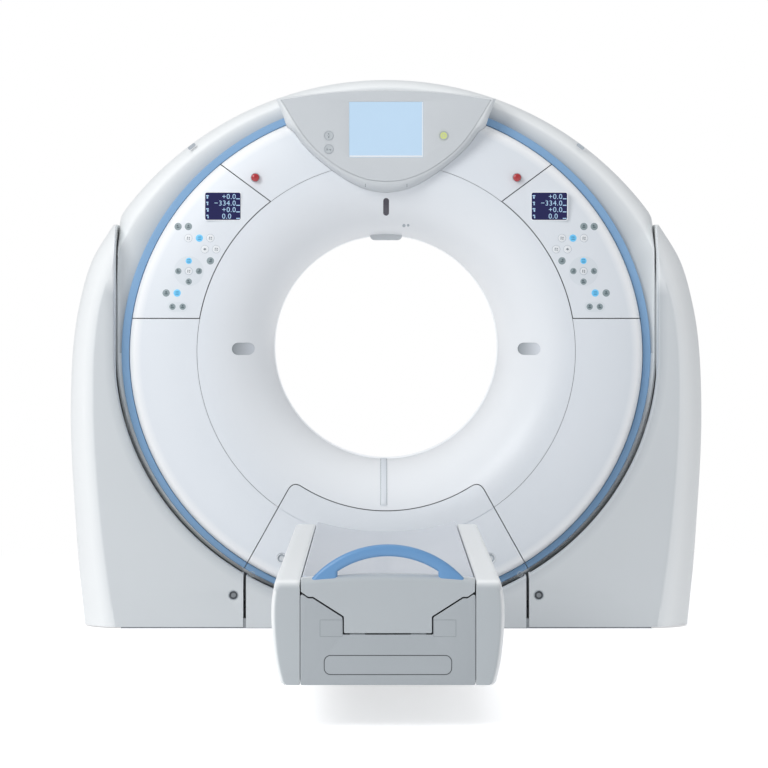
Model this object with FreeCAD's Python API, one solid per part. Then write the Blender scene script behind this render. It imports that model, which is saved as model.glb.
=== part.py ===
import FreeCAD, Part
import math
import os

# CT scanner: a ring-shaped gantry that tilts between two stands, and a patient couch.
# Millimetres. +Z is up, the bore runs along Y, the front of the gantry and the couch face -Y.
# The origin is on the floor under the middle of the bore.

# bore and ring-shaped front
bore_radius = 390.0
window_half = 40.0           # half width of the scan window band in the bore
window_thickness = 4.0
window_recess = 3.0          # the band's face lies behind the throats of the covers
horn_radius = 630.0          # where the flared funnel meets the flat of the front
front_crown = 345.0          # flat of the front cover, ahead of the scan plane
rear_crown = 330.0
rear_horn_radius = 545.0
horn_bands = 6               # conical bands that make the flare
ring_sides = 40              # flats on the large round mouldings
hidden_sides = 20            # flats on round faces inside the covers
bar_sides = 12               # flats on small round pieces
skin = 5.0                   # wall of the moulded covers

# trim ring and drum outline, ellipses about ring_height
trim_half_width = 905.0
trim_half_height = 872.0
trim_band = 24.5
trim_depth = 30.0
drum_rim = 13.0              # drum skin outside the trim ring
drum_clearance = 57.0        # floor to the lowest point of the drum
ring_height = drum_clearance + trim_half_height + drum_rim
ring_drop = 18.0
axis_height = ring_height + ring_drop   # bore and tilt axis
reach = 2 * trim_half_width  # past every side of the gantry
drum_half_depth = 250.0
arch_radius = 1138.0
arch_top = ring_height + 948.0
front_arch_radius = 1042.0
front_arch_top = arch_top - 37.0
shoulder_depth = 85.0

# front cover outline and its seams
cover_flat = (690.0, 672.0)  # half width and height of the flat's edge
cover_break = 56.0           # sloped edge bands, measured in from the rim
cover_drop = 23.0
seam = 2.0
seam_radius = 648.0
seam_height = axis_height - 12.0
panel_corner = (394.0, seam_height + 513.0)
panel_top = (585.0, seam_height + 655.0)
panel_bottom = seam_height + 114.0
door_arc_radius = 546.0
door_corner = (322.0, seam_height - 448.0)
door_foot = (495.0, seam_height - 758.0)
display_size = (122.0, 94.0)
display_centre = (559.0, seam_height + 498.0)

# windows, indicator and strip in the funnel
laser_top_size = (20.0, 59.0)
laser_top_height = axis_height + 486.0
laser_side_size = (75.0, 42.0)
laser_side_centre = (492.0, axis_height - 3.0)
window_fit = 0.3
indicator_width = 112.0
indicator_drop = 20.0
indicator_y = (-118.0, -60.0)
strip_width = 20.0
strip_offset = -8.0
strip_low = axis_height - 542.0
strip_rise = 3.0

# console on the front of the arch, heights from the middle of its screen
screen_size = (252.0, 189.0)
screen_height = ring_height + 763.0
console_top = (361.0, screen_height + 107.0)
console_knee = (341.0, screen_height + 17.0)
console_side = (290.0, screen_height - 40.0)
console_elbow = (186.0, screen_height - 141.0)
console_chin = (98.0, screen_height - 193.6)
console_tip = screen_height - 212.0
console_crown = screen_height + 140.0
console_front = 385.0
console_wall = 6.0
face_thickness = 4.0
face_side = (262.0, screen_height - 40.0)
face_elbow = (150.0, screen_height - 147.0)
face_margin = 12.0
face_lip = 38.0
key_radius = 15.7
key_gap = 0.3
key_travel = 1.5
key_places = {"start_key": (196.0, screen_height - 19.0), "patient_key": (-196.0, screen_height - 19.0),
              "couch_key": (-196.0, screen_height - 65.0)}
stop_place = (448.0, seam_height + 596.0)
stop_radius = 13.7
stop_stem = 8.0
stop_travel = 4.0

# stands and base covers
stand_gap = 12.0
stand_front = 345.0
stand_rear = 480.0
bevel_depth = 120.0
stand_tip = (944.0, axis_height + 424.0)
stand_shoulder = (1061.0, axis_height + 150.0)
stand_waist = (1091.0, axis_height - 185.0)
stand_shin = (1076.0, axis_height - 570.0)
stand_foot = (1042.0, 0.0)
face_tip = (937.0, axis_height + 410.0)
face_shoulder = (974.0, axis_height + 160.0)
face_waist = (996.0, axis_height - 160.0)
face_shin = (978.0, axis_height - 520.0)
face_foot = (921.0, 0.0)
skirt_rear = 345.0
skirt_depth = 262.0          # static skirts stay this far from the tilt axis plane
flange_depth = 45.0          # turned-in edge of the skirts, along the drum
base_split = 485.0
base_gap = 10.0
cover_lift = 5.0
lock_radius = 17.0
lock_place = (523.0, 114.0)
door_lock_place = (358.0, seam_height - 709.0)
lock_depth = 12.0
door_lock_face = 331.0

# steelwork in the base and stands
plate_thickness = 10.0
beam_height = 80.0
beam_wall = 8.0
rib_height = 34.0
rib_width = 35.0
rib_half = 850.0
column_x = (942.0, 1018.0)
column_foot = 190.0
column_head = 110.0
column_web = 50.0            # width of the column's edges beside its cut-out
bearing_radius = 90.0
trunnion_radius = 55.0
trunnion_clearance = 6.0
running_fit = 0.05
gear_width = 42.0
gear_box = (-90.0, 170.0)
motor_end = 330.0
power_box = ((200.0, 350.0), axis_height - 200.0)

# tilt frame and rotor
frame_y = (160.0, 190.0)
frame_radius = 870.0
frame_hole = 625.0
arm_inner = 845.0
arm_half_height = 110.0
arm_front = -70.0
web_inner = 770.0
web_half_height = 170.0
pad_top = 100.0              # top of the trunnion pad above the axis
race_radius = 600.0
race_width = 40.0
race_gap = 6.0               # rotor's disc to the outer race
arm_outer = 888.0
disc_y = (75.0, 100.0)
disc_radius = 825.0
disc_bore = 430.0
disc_rim = (25.0, 35.0)      # thickness of the rim and where it starts
slip_radii = (440.0, 545.0)
slip_width = 40.0
brush_half = 40.0
brush_drop = (450.0, 540.0, 700.0)   # below the axis: tip, heel and root of the brush arm
rotor_front = -125.0
focus_radius = 610.0
tube_radius = 95.0
tube_cap = (40.0, 12.0)      # radius and length of the plug at its end
collimator_size = (90.0, 30.0, 80.0) # half width below and above, height
detector_radius = 1072.0     # from the focal spot
detector_thickness = 62.0
detector_half_angle = 25.0
detector_front = -80.0
stator_radii = (700.0, 790.0)
tank_rise = 7.46             # balances the rotor about its axis
tank_x = (510.0, 700.0, 760.0)
tank_half = (210.0, 120.0)
tank_front = -110.0
air_gap = 0.8

# couch
couch_near = -2951.0
couch_far = -830.0
couch_low = 117.0
couch_top = 392.0
well_half = 230.0
well_steps = ((229.0, 361.0), (209.0, 347.0), (196.0, 347.0), (116.0, 296.0), (116.0, 252.0))
side_top_half = 292.0
side_bulge = (300.0, 290.0)
side_low_half = 276.0
side_round = 9.0
far_cover_top = 342.0
slot_gap = 3.0
cap_depth = 71.0
cap_edge = 393.0
cap_crown = 405.0
cradle_rim = (220.0, 400.0)
cradle_dip = 368.0
cradle_thickness = 20.8
cradle_edge = (2.0, 14.0)    # how far the lower corners stand out and below the rim
carriage_length = 410.0
deck_height = 248.0
deck_thickness = 20.0
deck_wall = 14.0
rail_x = (60.0, 100.0)
handle_half = 202.0
handle_top = 484.0
handle_band = 31.0
handle_post = 128.0
handle_depth = 30.0
column_half = 190.0
column_y = (-1900.0, -980.0)
column_height = 200.0
column_wall = 8.0
column_fit = 0.5
column_step = 2.0
foot_margin = 40.0
tongue_half = 120.0

drum_half_width = trim_half_width + drum_rim
drum_half_height = trim_half_height + drum_rim
stand_inner = drum_half_width + stand_gap
skirt_ellipse = (stand_inner, drum_half_height + stand_gap)
cover_ellipse = (trim_half_width - trim_band - 0.5, trim_half_height - trim_band - 0.5)


def vec(x, y, z):
    return FreeCAD.Vector(x, y, z)


def block(x, y, z):
    return Part.makeBox(x[1] - x[0], y[1] - y[0], z[1] - z[0], vec(x[0], y[0], z[0]))


def rod(radius, start, end):
    run = end - start
    return Part.makeCylinder(radius, run.Length, start, run)


def arc_points(start, middle, end, count):
    arc = Part.Arc(vec(start[0], 0, start[1]), vec(middle[0], 0, middle[1]), vec(end[0], 0, end[1]))
    return [(p.x, p.z) for p in arc.toShape().discretize(count + 1)[1:]]


def path(start, *steps):
    """Points of an outline in X and Z. A step is one point, or middle, end and flats of an arc."""
    points = [start]
    for step in steps:
        if len(step) == 1:
            points.append(step[0])
        else:
            points += arc_points(points[-1], *step)
    return points


def round_points(half_width, half_height, x=0.0, z=axis_height, sides=ring_sides):
    turns = [2 * math.pi * i / sides for i in range(sides)]
    return [(x + half_width * math.cos(t), z + half_height * math.sin(t)) for t in turns]


def slot_points(size, centre):
    """Round-ended slot, along the longer of its two sizes."""
    width, height = size
    x, z = centre
    r = min(width, height) / 2
    a, b = max(width / 2 - r, 0), max(height / 2 - r, 0)
    corners = []
    for i in range(bar_sides):
        t = 2 * math.pi * (i + 0.5) / bar_sides
        corners.append((x + math.copysign(a, math.cos(t)) + r * math.cos(t),
                        z + math.copysign(b, math.sin(t)) + r * math.sin(t)))
    return corners


def prism(points, y):
    wire = Part.makePolygon([vec(x, y[0], z) for x, z in points + points[:1]])
    return Part.Face(wire).extrude(vec(0, y[1] - y[0], 0))


def prism_x(points, x):
    """Prism along X from (y, z) points."""
    wire = Part.makePolygon([vec(x[0], y, z) for y, z in points + points[:1]])
    return Part.Face(wire).extrude(vec(x[1] - x[0], 0, 0))


def flat_faces(corners):
    """One face where the corners lie in a plane, or else two."""
    loop = [p for i, p in enumerate(corners) if (p - corners[i - 1]).Length > 1e-6]
    if len(loop) < 3:
        return []
    normal = (loop[1] - loop[0]).cross(loop[2] - loop[0]).normalize()
    if len(loop) == 4 and abs((loop[3] - loop[0]).dot(normal)) > 1e-5:
        return flat_faces(loop[:3]) + flat_faces([loop[0], loop[2], loop[3]])
    return [Part.Face(Part.makePolygon(loop + loop[:1]))]


def stack(*sections):
    """Solid through a row of outlines, each a y and as many points as the others."""
    rings = [[vec(x, y, z) for x, z in points] for y, points in sections]
    faces = [Part.Face(Part.makePolygon(ring + ring[:1])) for ring in (rings[0], rings[-1])]
    for low, high in zip(rings, rings[1:]):
        for i in range(len(low)):
            faces += flat_faces([low[i - 1], low[i], high[i], high[i - 1]])
    solid = Part.makeSolid(Part.makeShell(faces))
    return solid if solid.Volume > 0 else solid.reversed()


def disc(half_width, half_height, y, z=axis_height, sides=ring_sides):
    return prism(round_points(half_width, half_height, 0.0, z, sides), y)


def hoop(outer, inner, y, sides=ring_sides):
    return disc(outer, outer, y, sides=sides).cut(disc(inner, inner, y, sides=sides))


def bar(radius, y, x, z, sides=bar_sides):
    return prism(round_points(radius, radius, x, z, sides), y)


def grown(sizes, by):
    return (sizes[0] + by, sizes[1] + by)


def mirrored(shape):
    return shape.mirror(vec(0, 0, 0), vec(1, 0, 0))


def both(shape):
    return Part.makeCompound([shape, mirrored(shape)])


def mirror_points(points):
    return [(-x, z) for x, z in points[::-1]]


def horn_stack(radius, crown, inset, bands, sign):
    """Flared space, or its backing surface, from the bore's throat out to the flat of a cover."""
    sides = hidden_sides if inset > 0 else ring_sides
    spread = math.cos(math.pi / ring_sides) / math.cos(math.pi / sides)
    sections = []
    for i in range(bands + 1):
        t = math.radians(90.0 * i / bands)
        r = (radius - (radius - bore_radius - inset) * math.cos(t)) * spread
        y = sign * (window_half + (crown - window_half - inset) * math.sin(t))
        sections.append((y, round_points(r, r, sides=sides)))
    if inset > 0:
        sections.append((sign * crown, sections[-1][1]))
    return stack(*sections)


def oval(sizes, inset=0.0, sides=ring_sides):
    return round_points(sizes[0] - inset, sizes[1] - inset, 0.0, ring_height, sides)


def front_dome(inset):
    """Flat, sloped band, rounded edge and rim of the front cover."""
    front = -front_crown + inset
    rim_start = front + cover_drop + cover_break * 0.75
    if inset:
        rim = oval(cover_ellipse, inset, hidden_sides)
        return stack((front, oval(cover_flat, 0.0, hidden_sides)),
                     (front + cover_drop, oval(cover_ellipse, inset + cover_break / 2, hidden_sides)),
                     (rim_start, rim), (1.0 - drum_half_depth, rim))
    return stack((front, oval(cover_flat)), (front + cover_drop, oval(cover_ellipse, cover_break / 2)),
                 (front + cover_drop + cover_break / 4, oval(cover_ellipse, cover_break / 6)),
                 (rim_start, oval(cover_ellipse)), (-drum_half_depth, oval(cover_ellipse)))


def front_blank():
    """The whole front moulding before it is parted along its seams."""
    shell = front_dome(0.0).cut(front_dome(skin))
    wall = horn_stack(horn_radius, front_crown, skin, 2, -1)
    horn = horn_stack(horn_radius, front_crown, 0.0, horn_bands, -1)
    return shell.fuse(wall).cut(horn).removeSplitter()


def seam_disc(radius):
    return disc(radius, radius, (-front_crown - 1, -1), seam_height)


def panel_zone(grow):
    """Right-hand control panel's field, bounded inside by the seam circle."""
    x, z = panel_corner
    tx, tz = panel_top
    run = math.hypot(tx - x, tz - z)
    ux, uz = (tx - x) / run, (tz - z) / run
    inner = (x - ux * run - uz * grow, z - uz * run + ux * grow)
    outer = (x + ux * 2 * run - uz * grow, z + uz * 2 * run + ux * grow)
    points = [inner, outer, (trim_half_width, outer[1]), (trim_half_width, panel_bottom - grow),
              (0.0, panel_bottom - grow)]
    return prism(points, (-front_crown - 1, -1))


def door_zone(grow):
    """Lower service door: an arc along its top, sides that spread to the rim."""
    x, z = door_corner
    fx, fz = door_foot
    run = math.hypot(fx - x, fz - z)
    px, pz = (z - fz) / run * grow, (fx - x) / run * grow
    right = [(x + px, z + pz), (2 * fx - x + px, 2 * fz - z + pz)]
    zone = prism(right + mirror_points(right), (-front_crown - 1, -1))
    inner = door_arc_radius - grow
    return zone.cut(disc(inner, inner, (-front_crown - 2, 1), seam_height))


def console_points():
    right = path((0.0, console_tip), [console_chin, console_elbow, 4],
                 [console_side], [console_knee], [console_top],
                 [(console_top[0] / 2, console_crown - 10.0), (0.0, console_crown), 3])
    return right + mirror_points(right)[1:-1]


def console_prism(grow, y):
    wire = Part.makePolygon([vec(x, y[0], z) for x, z in console_points() + console_points()[:1]])
    if grow:
        wire = wire.makeOffset2D(grow, 2)
    return Part.Face(wire).extrude(vec(0, y[1] - y[0], 0))


def laser_slots(fit):
    y = (-front_crown, -100.0)
    side = grown(laser_side_size, -2 * fit)
    x, z = laser_side_centre
    top = prism(slot_points(grown(laser_top_size, -2 * fit), (0.0, laser_top_height)), y)
    return [top, prism(slot_points(side, (x, z)), y), prism(slot_points(side, (-x, z)), y)]


def display_field(fit):
    x, z = display_centre
    w, h = display_size[0] / 2 - fit, display_size[1] / 2 - fit
    return block((x - w, x + w), (-front_crown - 1, -200.0), (z - h, z + h))


def covers():
    blank = front_blank()
    window = console_prism(0.8, (-console_front - 1, -1))
    zone, open_zone = panel_zone(0.0), panel_zone(seam)
    door_open = door_zone(seam)
    outer = blank.cut(seam_disc(seam_radius + seam / 2))
    funnel = blank.common(seam_disc(seam_radius - seam / 2)).cut(door_open).cut(window)
    rim = outer.cut(open_zone).cut(mirrored(open_zone)).cut(door_open).cut(window)
    stop = bar(stop_stem + key_gap, (-front_crown - 1, -1), *stop_place)
    parts = sorted(rim.Solids, key=lambda s: s.CenterOfMass.z)
    low = sorted(parts[:2], key=lambda s: s.CenterOfMass.x)
    door_lock = bar(lock_radius + window_fit, (-front_crown - 1, -1), *door_lock_place)
    panel = outer.common(zone)
    right_display = panel.common(display_field(window_fit))
    panel = panel.cut(display_field(0.0))
    return {
        "funnel_cover": funnel.cut(laser_slots(0.0)),
        "outer_cover_top": Part.makeCompound(parts[2:]).cut([stop, mirrored(stop)]),
        "outer_cover_left": low[0],
        "outer_cover_right": low[-1],
        "service_door": blank.common(door_zone(0.0)).cut([door_lock, mirrored(door_lock)]),
        "control_panel_right": panel,
        "control_panel_left": mirrored(panel),
        "panel_displays": both(right_display),
        "laser_windows": Part.makeCompound([blank.common(w) for w in laser_slots(window_fit)]),
    }


def cover_locks(place, face):
    """Pair of quarter-turn locks, each with a slot for its key."""
    x, z = place
    plug = bar(lock_radius, (-face, -face + lock_depth), x, z)
    slot = block((x - 1.5, x + 1.5), (-face - 1, -face + 3.0), (z - 9.0, z + 9.0))
    return both(plug.cut(slot))


def trim_ring():
    sizes = (trim_half_width, trim_half_height)
    y = (-drum_half_depth - trim_depth, -drum_half_depth)
    ring = prism(oval(sizes), y).cut(prism(oval(sizes, trim_band), y))
    upper = ring.cut(console_prism(0.8, (-console_front, -1))).cut(door_zone(seam))
    return Part.makeCompound(upper.Solids + ring.common(door_zone(0.0)).Solids)


def scan_window():
    face = bore_radius + window_recess
    return hoop(face + window_thickness, face, (-window_half, window_half))


def bore_indicator():
    half = indicator_width / 2
    low = axis_height + bore_radius - indicator_drop
    right = [(half - 10.0, low), (half, low + 12.0), (half, low + 60.0)]
    body = prism(right + mirror_points(right), indicator_y)
    horn = horn_stack(horn_radius, front_crown, 0.0, horn_bands, -1)
    return body.common(horn)


def funnel_strip():
    horn = horn_stack(horn_radius, front_crown, 0.0, horn_bands, -1)
    proud = horn_stack(horn_radius, front_crown, -strip_rise, horn_bands, -1)
    x = strip_offset - strip_width / 2
    run = block((x, x + strip_width), (-front_crown, -window_half), (strip_low, axis_height))
    return horn.cut(proud).common(run)


def arch_points(radius, top, half_width, bottom, flats):
    side = top - radius + math.sqrt(radius ** 2 - half_width ** 2)
    return path((-half_width, bottom), [(-half_width, side)], [(0, top), (half_width, side), flats],
                [(half_width, bottom)])


def arch_body(inset):
    half = drum_half_width - inset
    face = drum_half_depth - inset
    flat = drum_half_depth - shoulder_depth
    low = ring_height - (10.0 if inset else 0.0)
    flats = 10 if inset else 20
    front = arch_points(front_arch_radius - inset, front_arch_top - inset, half, low, flats)
    full = arch_points(arch_radius - inset, arch_top - inset, half, low, flats)
    return stack((-face, front), (-flat, full), (flat, full), (face, front))


def trunnion_holes():
    reach = trunnion_radius + trunnion_clearance
    hole = prism_x(round_points(reach, reach, sides=bar_sides), (arm_outer, column_x[0] + 10.0))
    return [hole, mirrored(hole)]


def drum_opening():
    return prism(oval(cover_ellipse, 10.0, hidden_sides), (-drum_half_depth - 1, drum_half_depth + 1))


def arch_shell():
    return arch_body(0.0).cut(arch_body(skin)).cut(drum_opening()).cut(trunnion_holes())


def lower_tub():
    sizes = (drum_half_width, drum_half_height)
    y = (-drum_half_depth, drum_half_depth)
    shell = prism(oval(sizes), y).cut(prism(oval(sizes, skin, hidden_sides), (y[0] + skin, y[1] - skin)))
    half = block((-reach, reach), (-reach, reach), (-reach, ring_height))
    return shell.cut(drum_opening()).common(half).cut(trunnion_holes())


def rear_dome(inset):
    sizes = (trim_half_width - inset, trim_half_height - inset)
    start = drum_half_depth - (1.0 if inset else 0.0)
    sides = hidden_sides if inset else ring_sides
    return stack((start, oval(sizes, 0.0, sides)), (drum_half_depth + 20.0, oval(sizes, 0.0, sides)),
                 (rear_crown - inset, oval(sizes, 60.0, sides)))


def rear_cover():
    shell = rear_dome(0.0).cut(rear_dome(skin))
    wall = horn_stack(rear_horn_radius, rear_crown, skin, 2, 1)
    horn = horn_stack(rear_horn_radius, rear_crown, 0.0, 4, 1)
    return shell.fuse(wall).cut(horn).removeSplitter()


def face_points():
    tip = console_tip + face_lip
    x, z = console_top[0] - face_margin, console_top[1] + 2.0
    right = path((0.0, tip), [(face_elbow[0] / 2, tip + 7.0), face_elbow, 3], [face_side, (x, z), 3],
                 [(x / 2, console_crown - 14.0), (0.0, console_crown - 4.0), 3])
    return right + mirror_points(right)[1:-1]


def screen_block(grow, y):
    w, h = screen_size[0] / 2 + grow, screen_size[1] / 2 + grow
    return block((-w, w), y, (screen_height - h, screen_height + h))


def console_parts():
    front = -console_front
    seat = front + face_thickness
    housing = console_prism(0.0, (front, -drum_half_depth))
    cavity = console_prism(-console_wall, (seat + console_wall, -drum_half_depth + 1))
    outline = Part.makePolygon([vec(x, front - 1, z) for x, z in face_points() + face_points()[:1]])
    pocket = Part.Face(outline.makeOffset2D(window_fit, 2)).extrude(vec(0, face_thickness + 1, 0))
    face = prism(face_points(), (front, seat)).cut(screen_block(window_fit, (front - 1, seat + 1)))
    keys = [bar(key_radius + key_gap, (front - 1, seat + 1), x, z) for x, z in key_places.values()]
    return {
        "console_housing": housing.cut(cavity).cut(pocket),
        "console_face": face.cut(keys),
        "console_screen": screen_block(0.0, (front + 0.5, seat)),
    }


def console_key(place):
    front = -console_front
    return bar(key_radius, (front - key_travel - 1.0, front + face_thickness - key_travel - 0.8), *place)


def stop_button(side):
    x, z = side * stop_place[0], stop_place[1]
    face = -front_crown - stop_travel - 2.0
    head = bar(stop_radius, (face - 12.0, face), x, z)
    return head.fuse(bar(stop_stem, (face, -front_crown + 24.0), x, z, bar_sides // 2))


def stand_points(line, inset, start):
    """Stand seen from the front, from x = start out to its curved edge."""
    tip, shoulder, waist, shin, foot = line
    low = -1.0 if inset else foot[1]
    tip_z = tip[1] - 2 * inset
    return path((start, low), [(foot[0] - inset, low)],
                [(shin[0] - inset, shin[1]), (waist[0] - inset, waist[1]), 3],
                [(shoulder[0] - inset, shoulder[1] - inset), (tip[0] - inset, tip_z), 5], [(start, tip_z)])


def stand_block(front, inset, start):
    """Half of a stand with its bevel: the front half for front < 0, else the rear half."""
    side = (stand_tip, stand_shoulder, stand_waist, stand_shin, stand_foot)
    face = (face_tip, face_shoulder, face_waist, face_shin, face_foot)
    sign = -1 if front < 0 else 1
    middle = stand_points(side, inset, start)
    return stack((front - sign * inset, stand_points(face, inset, start)),
                 (front - sign * bevel_depth, middle), (-sign if inset else 0.0, middle))


def drum_zone(y):
    tall = block((-stand_inner, stand_inner), y, (ring_height, arch_top + 100.0))
    return prism(oval(skirt_ellipse), y).fuse(tall)


def skirt_flange(y):
    ring = prism(oval(grown(skirt_ellipse, skin)), y).cut(prism(oval(skirt_ellipse), y))
    return ring.common(block((-stand_inner, stand_inner), y, (0.0, ring_height)))


def base_room():
    """Space of the base plate and its ribs, left free by the covers' side walls."""
    edge, side = face_foot[0] - 12.0, stand_inner + skin + 1.0
    y = (-stand_front + skin, skirt_rear - skin)
    sill = block((-side, side), (y[0] + 1.0, stand_rear - bevel_depth + 1.0), (-1.0, plate_thickness + 1.0))
    return sill.fuse(block((-edge, edge), y, (-1.0, rib_height + 1.0)))


def stand_front_cover():
    start = base_split + base_gap / 2
    outer = stand_block(-stand_front, 0.0, start)
    cavity = stand_block(-stand_front, skin, start + skin)
    inner_wall = block((stand_inner, stand_inner + skin), (-stand_front, 0.0), (0.0, stand_tip[1]))
    walls = outer.common(inner_wall.fuse(skirt_flange((-stand_front, flange_depth - stand_front))))
    shell = outer.cut(cavity).fuse(walls).cut(drum_zone((-stand_front - 1, 1.0)))
    behind = block((0.0, stand_inner), (-skirt_depth, 1.0), (-1.0, stand_tip[1]))
    floor = block((0.0, reach), (-reach, 1.0), (-1.0, cover_lift))
    lock = bar(lock_radius + window_fit, (-stand_front - 1, -200.0), *lock_place)
    return shell.cut([behind, floor, lock, base_room()] + trunnion_holes()).removeSplitter()


def stand_rear_cover():
    tower = block((stand_inner, reach), (-1.0, stand_rear + 1), (cover_lift, arch_top))
    room = block((stand_inner + skin, reach), (-1.0, stand_rear + 1), (-2.0, arch_top))
    outer = stand_block(stand_rear, 0.0, base_split).common(tower)
    cavity = stand_block(stand_rear, skin, base_split).common(room)
    return outer.cut([cavity, base_room()] + trunnion_holes())


def skirt_cover(half, face, inner):
    """Straight piece of base cover that follows the drum with its flange."""
    low, high = sorted((face, inner))
    sign = -1 if face < 0 else 1
    body = block((-half, half), (low, high), (cover_lift, ring_height - 80.0))
    room = sorted((face - sign * skin, inner - sign))
    cavity = block((-half + skin, half - skin), room, (-1.0, ring_height))
    flange = skirt_flange(sorted((face, face - sign * flange_depth))).common(body)
    shell = body.cut(cavity).fuse(flange).cut(drum_zone((low - 1, high + 1)))
    return shell.cut(base_room()).removeSplitter()


def floor_base():
    front, back = -stand_front + skin, skirt_rear - skin
    edge = face_foot[0] - 12.0
    plate = block((-edge, edge), (front, back), (0, plate_thickness))
    x = (stand_inner + skin, stand_foot[0] - skin - 8.0)
    y = (-stand_front + bevel_depth + skin, stand_rear - bevel_depth)
    runner = block((edge, x[1]), y, (0, plate_thickness))
    beam = block(x, y, (plate_thickness, beam_height))
    web = block((x[0] + beam_wall, x[1] - beam_wall), (y[0] + beam_wall, y[1] - beam_wall),
                (plate_thickness, beam_height - beam_wall))
    foot = runner.fuse(beam.cut(web))
    ribs = [block((-rib_half, rib_half), y, (plate_thickness, rib_height))
            for y in ((front, front + rib_width), (back - rib_width, back))]
    return plate.fuse([foot, mirrored(foot)] + ribs).removeSplitter()


def stand_frame():
    """Steel column with its bearing housing at the top."""
    head = axis_height + column_head
    side = path((-column_foot, beam_height), [(column_foot, beam_height)], [(column_head, axis_height)],
                [(0.0, head), (-column_head, axis_height), 8])
    foot, neck = column_foot - column_web, column_head - 0.8 * column_web
    low, high = beam_height + column_web + 10.0, axis_height - 2 * bearing_radius
    hole = [(-foot, low), (foot, low), (neck, high), (-neck, high)]
    bore = round_points(bearing_radius, bearing_radius, sides=bar_sides)
    return prism_x(side, column_x).cut([prism_x(hole, column_x), prism_x(bore, column_x)])


def trunnion_bearing():
    x = (column_x[0] + 4.0, column_x[1] - 4.0)
    radius = bearing_radius - running_fit
    outer = prism_x(round_points(radius, radius, sides=bar_sides), x)
    return outer.cut(rod(trunnion_radius + running_fit, vec(x[0], 0, axis_height), vec(x[1], 0, axis_height)))


def tilt_gearmotor():
    x = (column_x[1], column_x[1] + gear_width)
    box = block(x, gear_box, (axis_height - bearing_radius, axis_height + bearing_radius - 20.0))
    motor = bar(gear_width / 2 - 1.0, (gear_box[1], motor_end), sum(x) / 2, axis_height - 20.0)
    bore = rod(trunnion_radius + running_fit, vec(x[0] - 1, 0, axis_height), vec(x[1] + 1, 0, axis_height))
    return box.fuse(motor).cut(bore)


def power_unit():
    x = (-stand_foot[0] + skin + 10.0, -stand_inner - skin - 10.0)
    return block(x, power_box[0], (beam_height, power_box[1]))


def tilt_frame():
    corners = [(frame_radius * math.cos(math.radians(22.5 + 45.0 * i)),
                axis_height + frame_radius * math.sin(math.radians(22.5 + 45.0 * i))) for i in range(8)]
    plate = prism(corners, frame_y)
    web = block((web_inner, arm_outer - 15.0), frame_y,
                (axis_height - web_half_height, axis_height + web_half_height))
    arm = block((arm_inner, arm_outer), (arm_front, frame_y[1]),
                (axis_height - arm_half_height, axis_height + arm_half_height))
    pad = block((arm_outer, drum_half_width - skin), (arm_front, -arm_front),
                (ring_height + 3.0, axis_height + pad_top))
    root, driven = vec(arm_outer, 0, axis_height), vec(column_x[1] + gear_width - 2.0, 0, axis_height)
    idle = mirrored(rod(trunnion_radius, root, vec(column_x[1] - 2.0, 0, axis_height)))
    half = web.fuse([arm, pad])
    frame = plate.fuse([half, mirrored(half), idle, rod(trunnion_radius, root, driven)])
    return frame.cut(disc(frame_hole, frame_hole, (0, frame_y[1] + 1), sides=hidden_sides)).removeSplitter()


def bearing_outer_ring():
    y = (disc_y[1] + race_gap, frame_y[0])
    wide = frame_hole + race_width
    fit = race_radius + running_fit
    outer = disc(wide, wide, y, sides=hidden_sides)
    return outer.cut(rod(fit, vec(0, y[0], axis_height), vec(0, y[1], axis_height)))


def bearing_inner_ring():
    y = (disc_y[1], frame_y[0] - 10.0)
    race = rod(race_radius, vec(0, y[0], axis_height), vec(0, y[1], axis_height))
    return race.cut(disc(race_radius - race_width, race_radius - race_width, y, sides=hidden_sides))


def arc_slab(inner, outer, middle, half_angle, centre_z, y, flats):
    """Slab between two arcs about (0, centre_z), with the given number of flats."""
    inside, outside = [], []
    for i in range(flats + 1):
        t = math.radians(middle - half_angle + 2 * half_angle * i / flats)
        inside.append((inner * math.cos(t), centre_z + inner * math.sin(t)))
        outside.append((outer * math.cos(t), centre_z + outer * math.sin(t)))
    return prism(inside + outside[::-1], y)


def drive_stator():
    y = (disc_y[1] + air_gap, frame_y[0])
    return Part.makeCompound([arc_slab(stator_radii[0], stator_radii[1], middle, 20.0, axis_height, y, 3)
                              for middle in (45.0, 135.0, 225.0, 315.0)])


def brush_block():
    tip, heel, root = [axis_height - drop for drop in brush_drop]
    x = (-brush_half, brush_half)
    arm = block(x, (frame_y[1], frame_y[1] + 15.0), (root, tip))
    return arm.fuse(block(x, (disc_y[1] + slip_width + 0.6, frame_y[1]), (heel, tip))).removeSplitter()


def rotor_disc():
    rim = hoop(disc_radius, disc_radius - disc_rim[0], (disc_rim[1], disc_y[1]), hidden_sides)
    plate = disc(disc_radius, disc_radius, disc_y, sides=hidden_sides)
    return plate.fuse(rim).cut(disc(disc_bore, disc_bore, (0, 200.0), sides=hidden_sides)).removeSplitter()


def slip_ring():
    return hoop(slip_radii[1], slip_radii[0], (disc_y[1], disc_y[1] + slip_width), hidden_sides)


def xray_tube():
    z = axis_height + focus_radius
    body = bar(tube_radius, (rotor_front, disc_y[0]), 0.0, z)
    return body.fuse(bar(tube_cap[0], (rotor_front - tube_cap[1], rotor_front), 0.0, z))


def collimator():
    high = axis_height + focus_radius - tube_radius - 0.3
    wide, narrow, tall = collimator_size
    right = [(wide, high - tall), (narrow, high)]
    return prism(right + mirror_points(right), (-60.0, disc_y[0]))


def detector_arc():
    spot = axis_height + focus_radius
    outer = detector_radius + detector_thickness
    return arc_slab(detector_radius, outer, -90.0, detector_half_angle, spot, (detector_front, disc_y[0]), 8)


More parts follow.
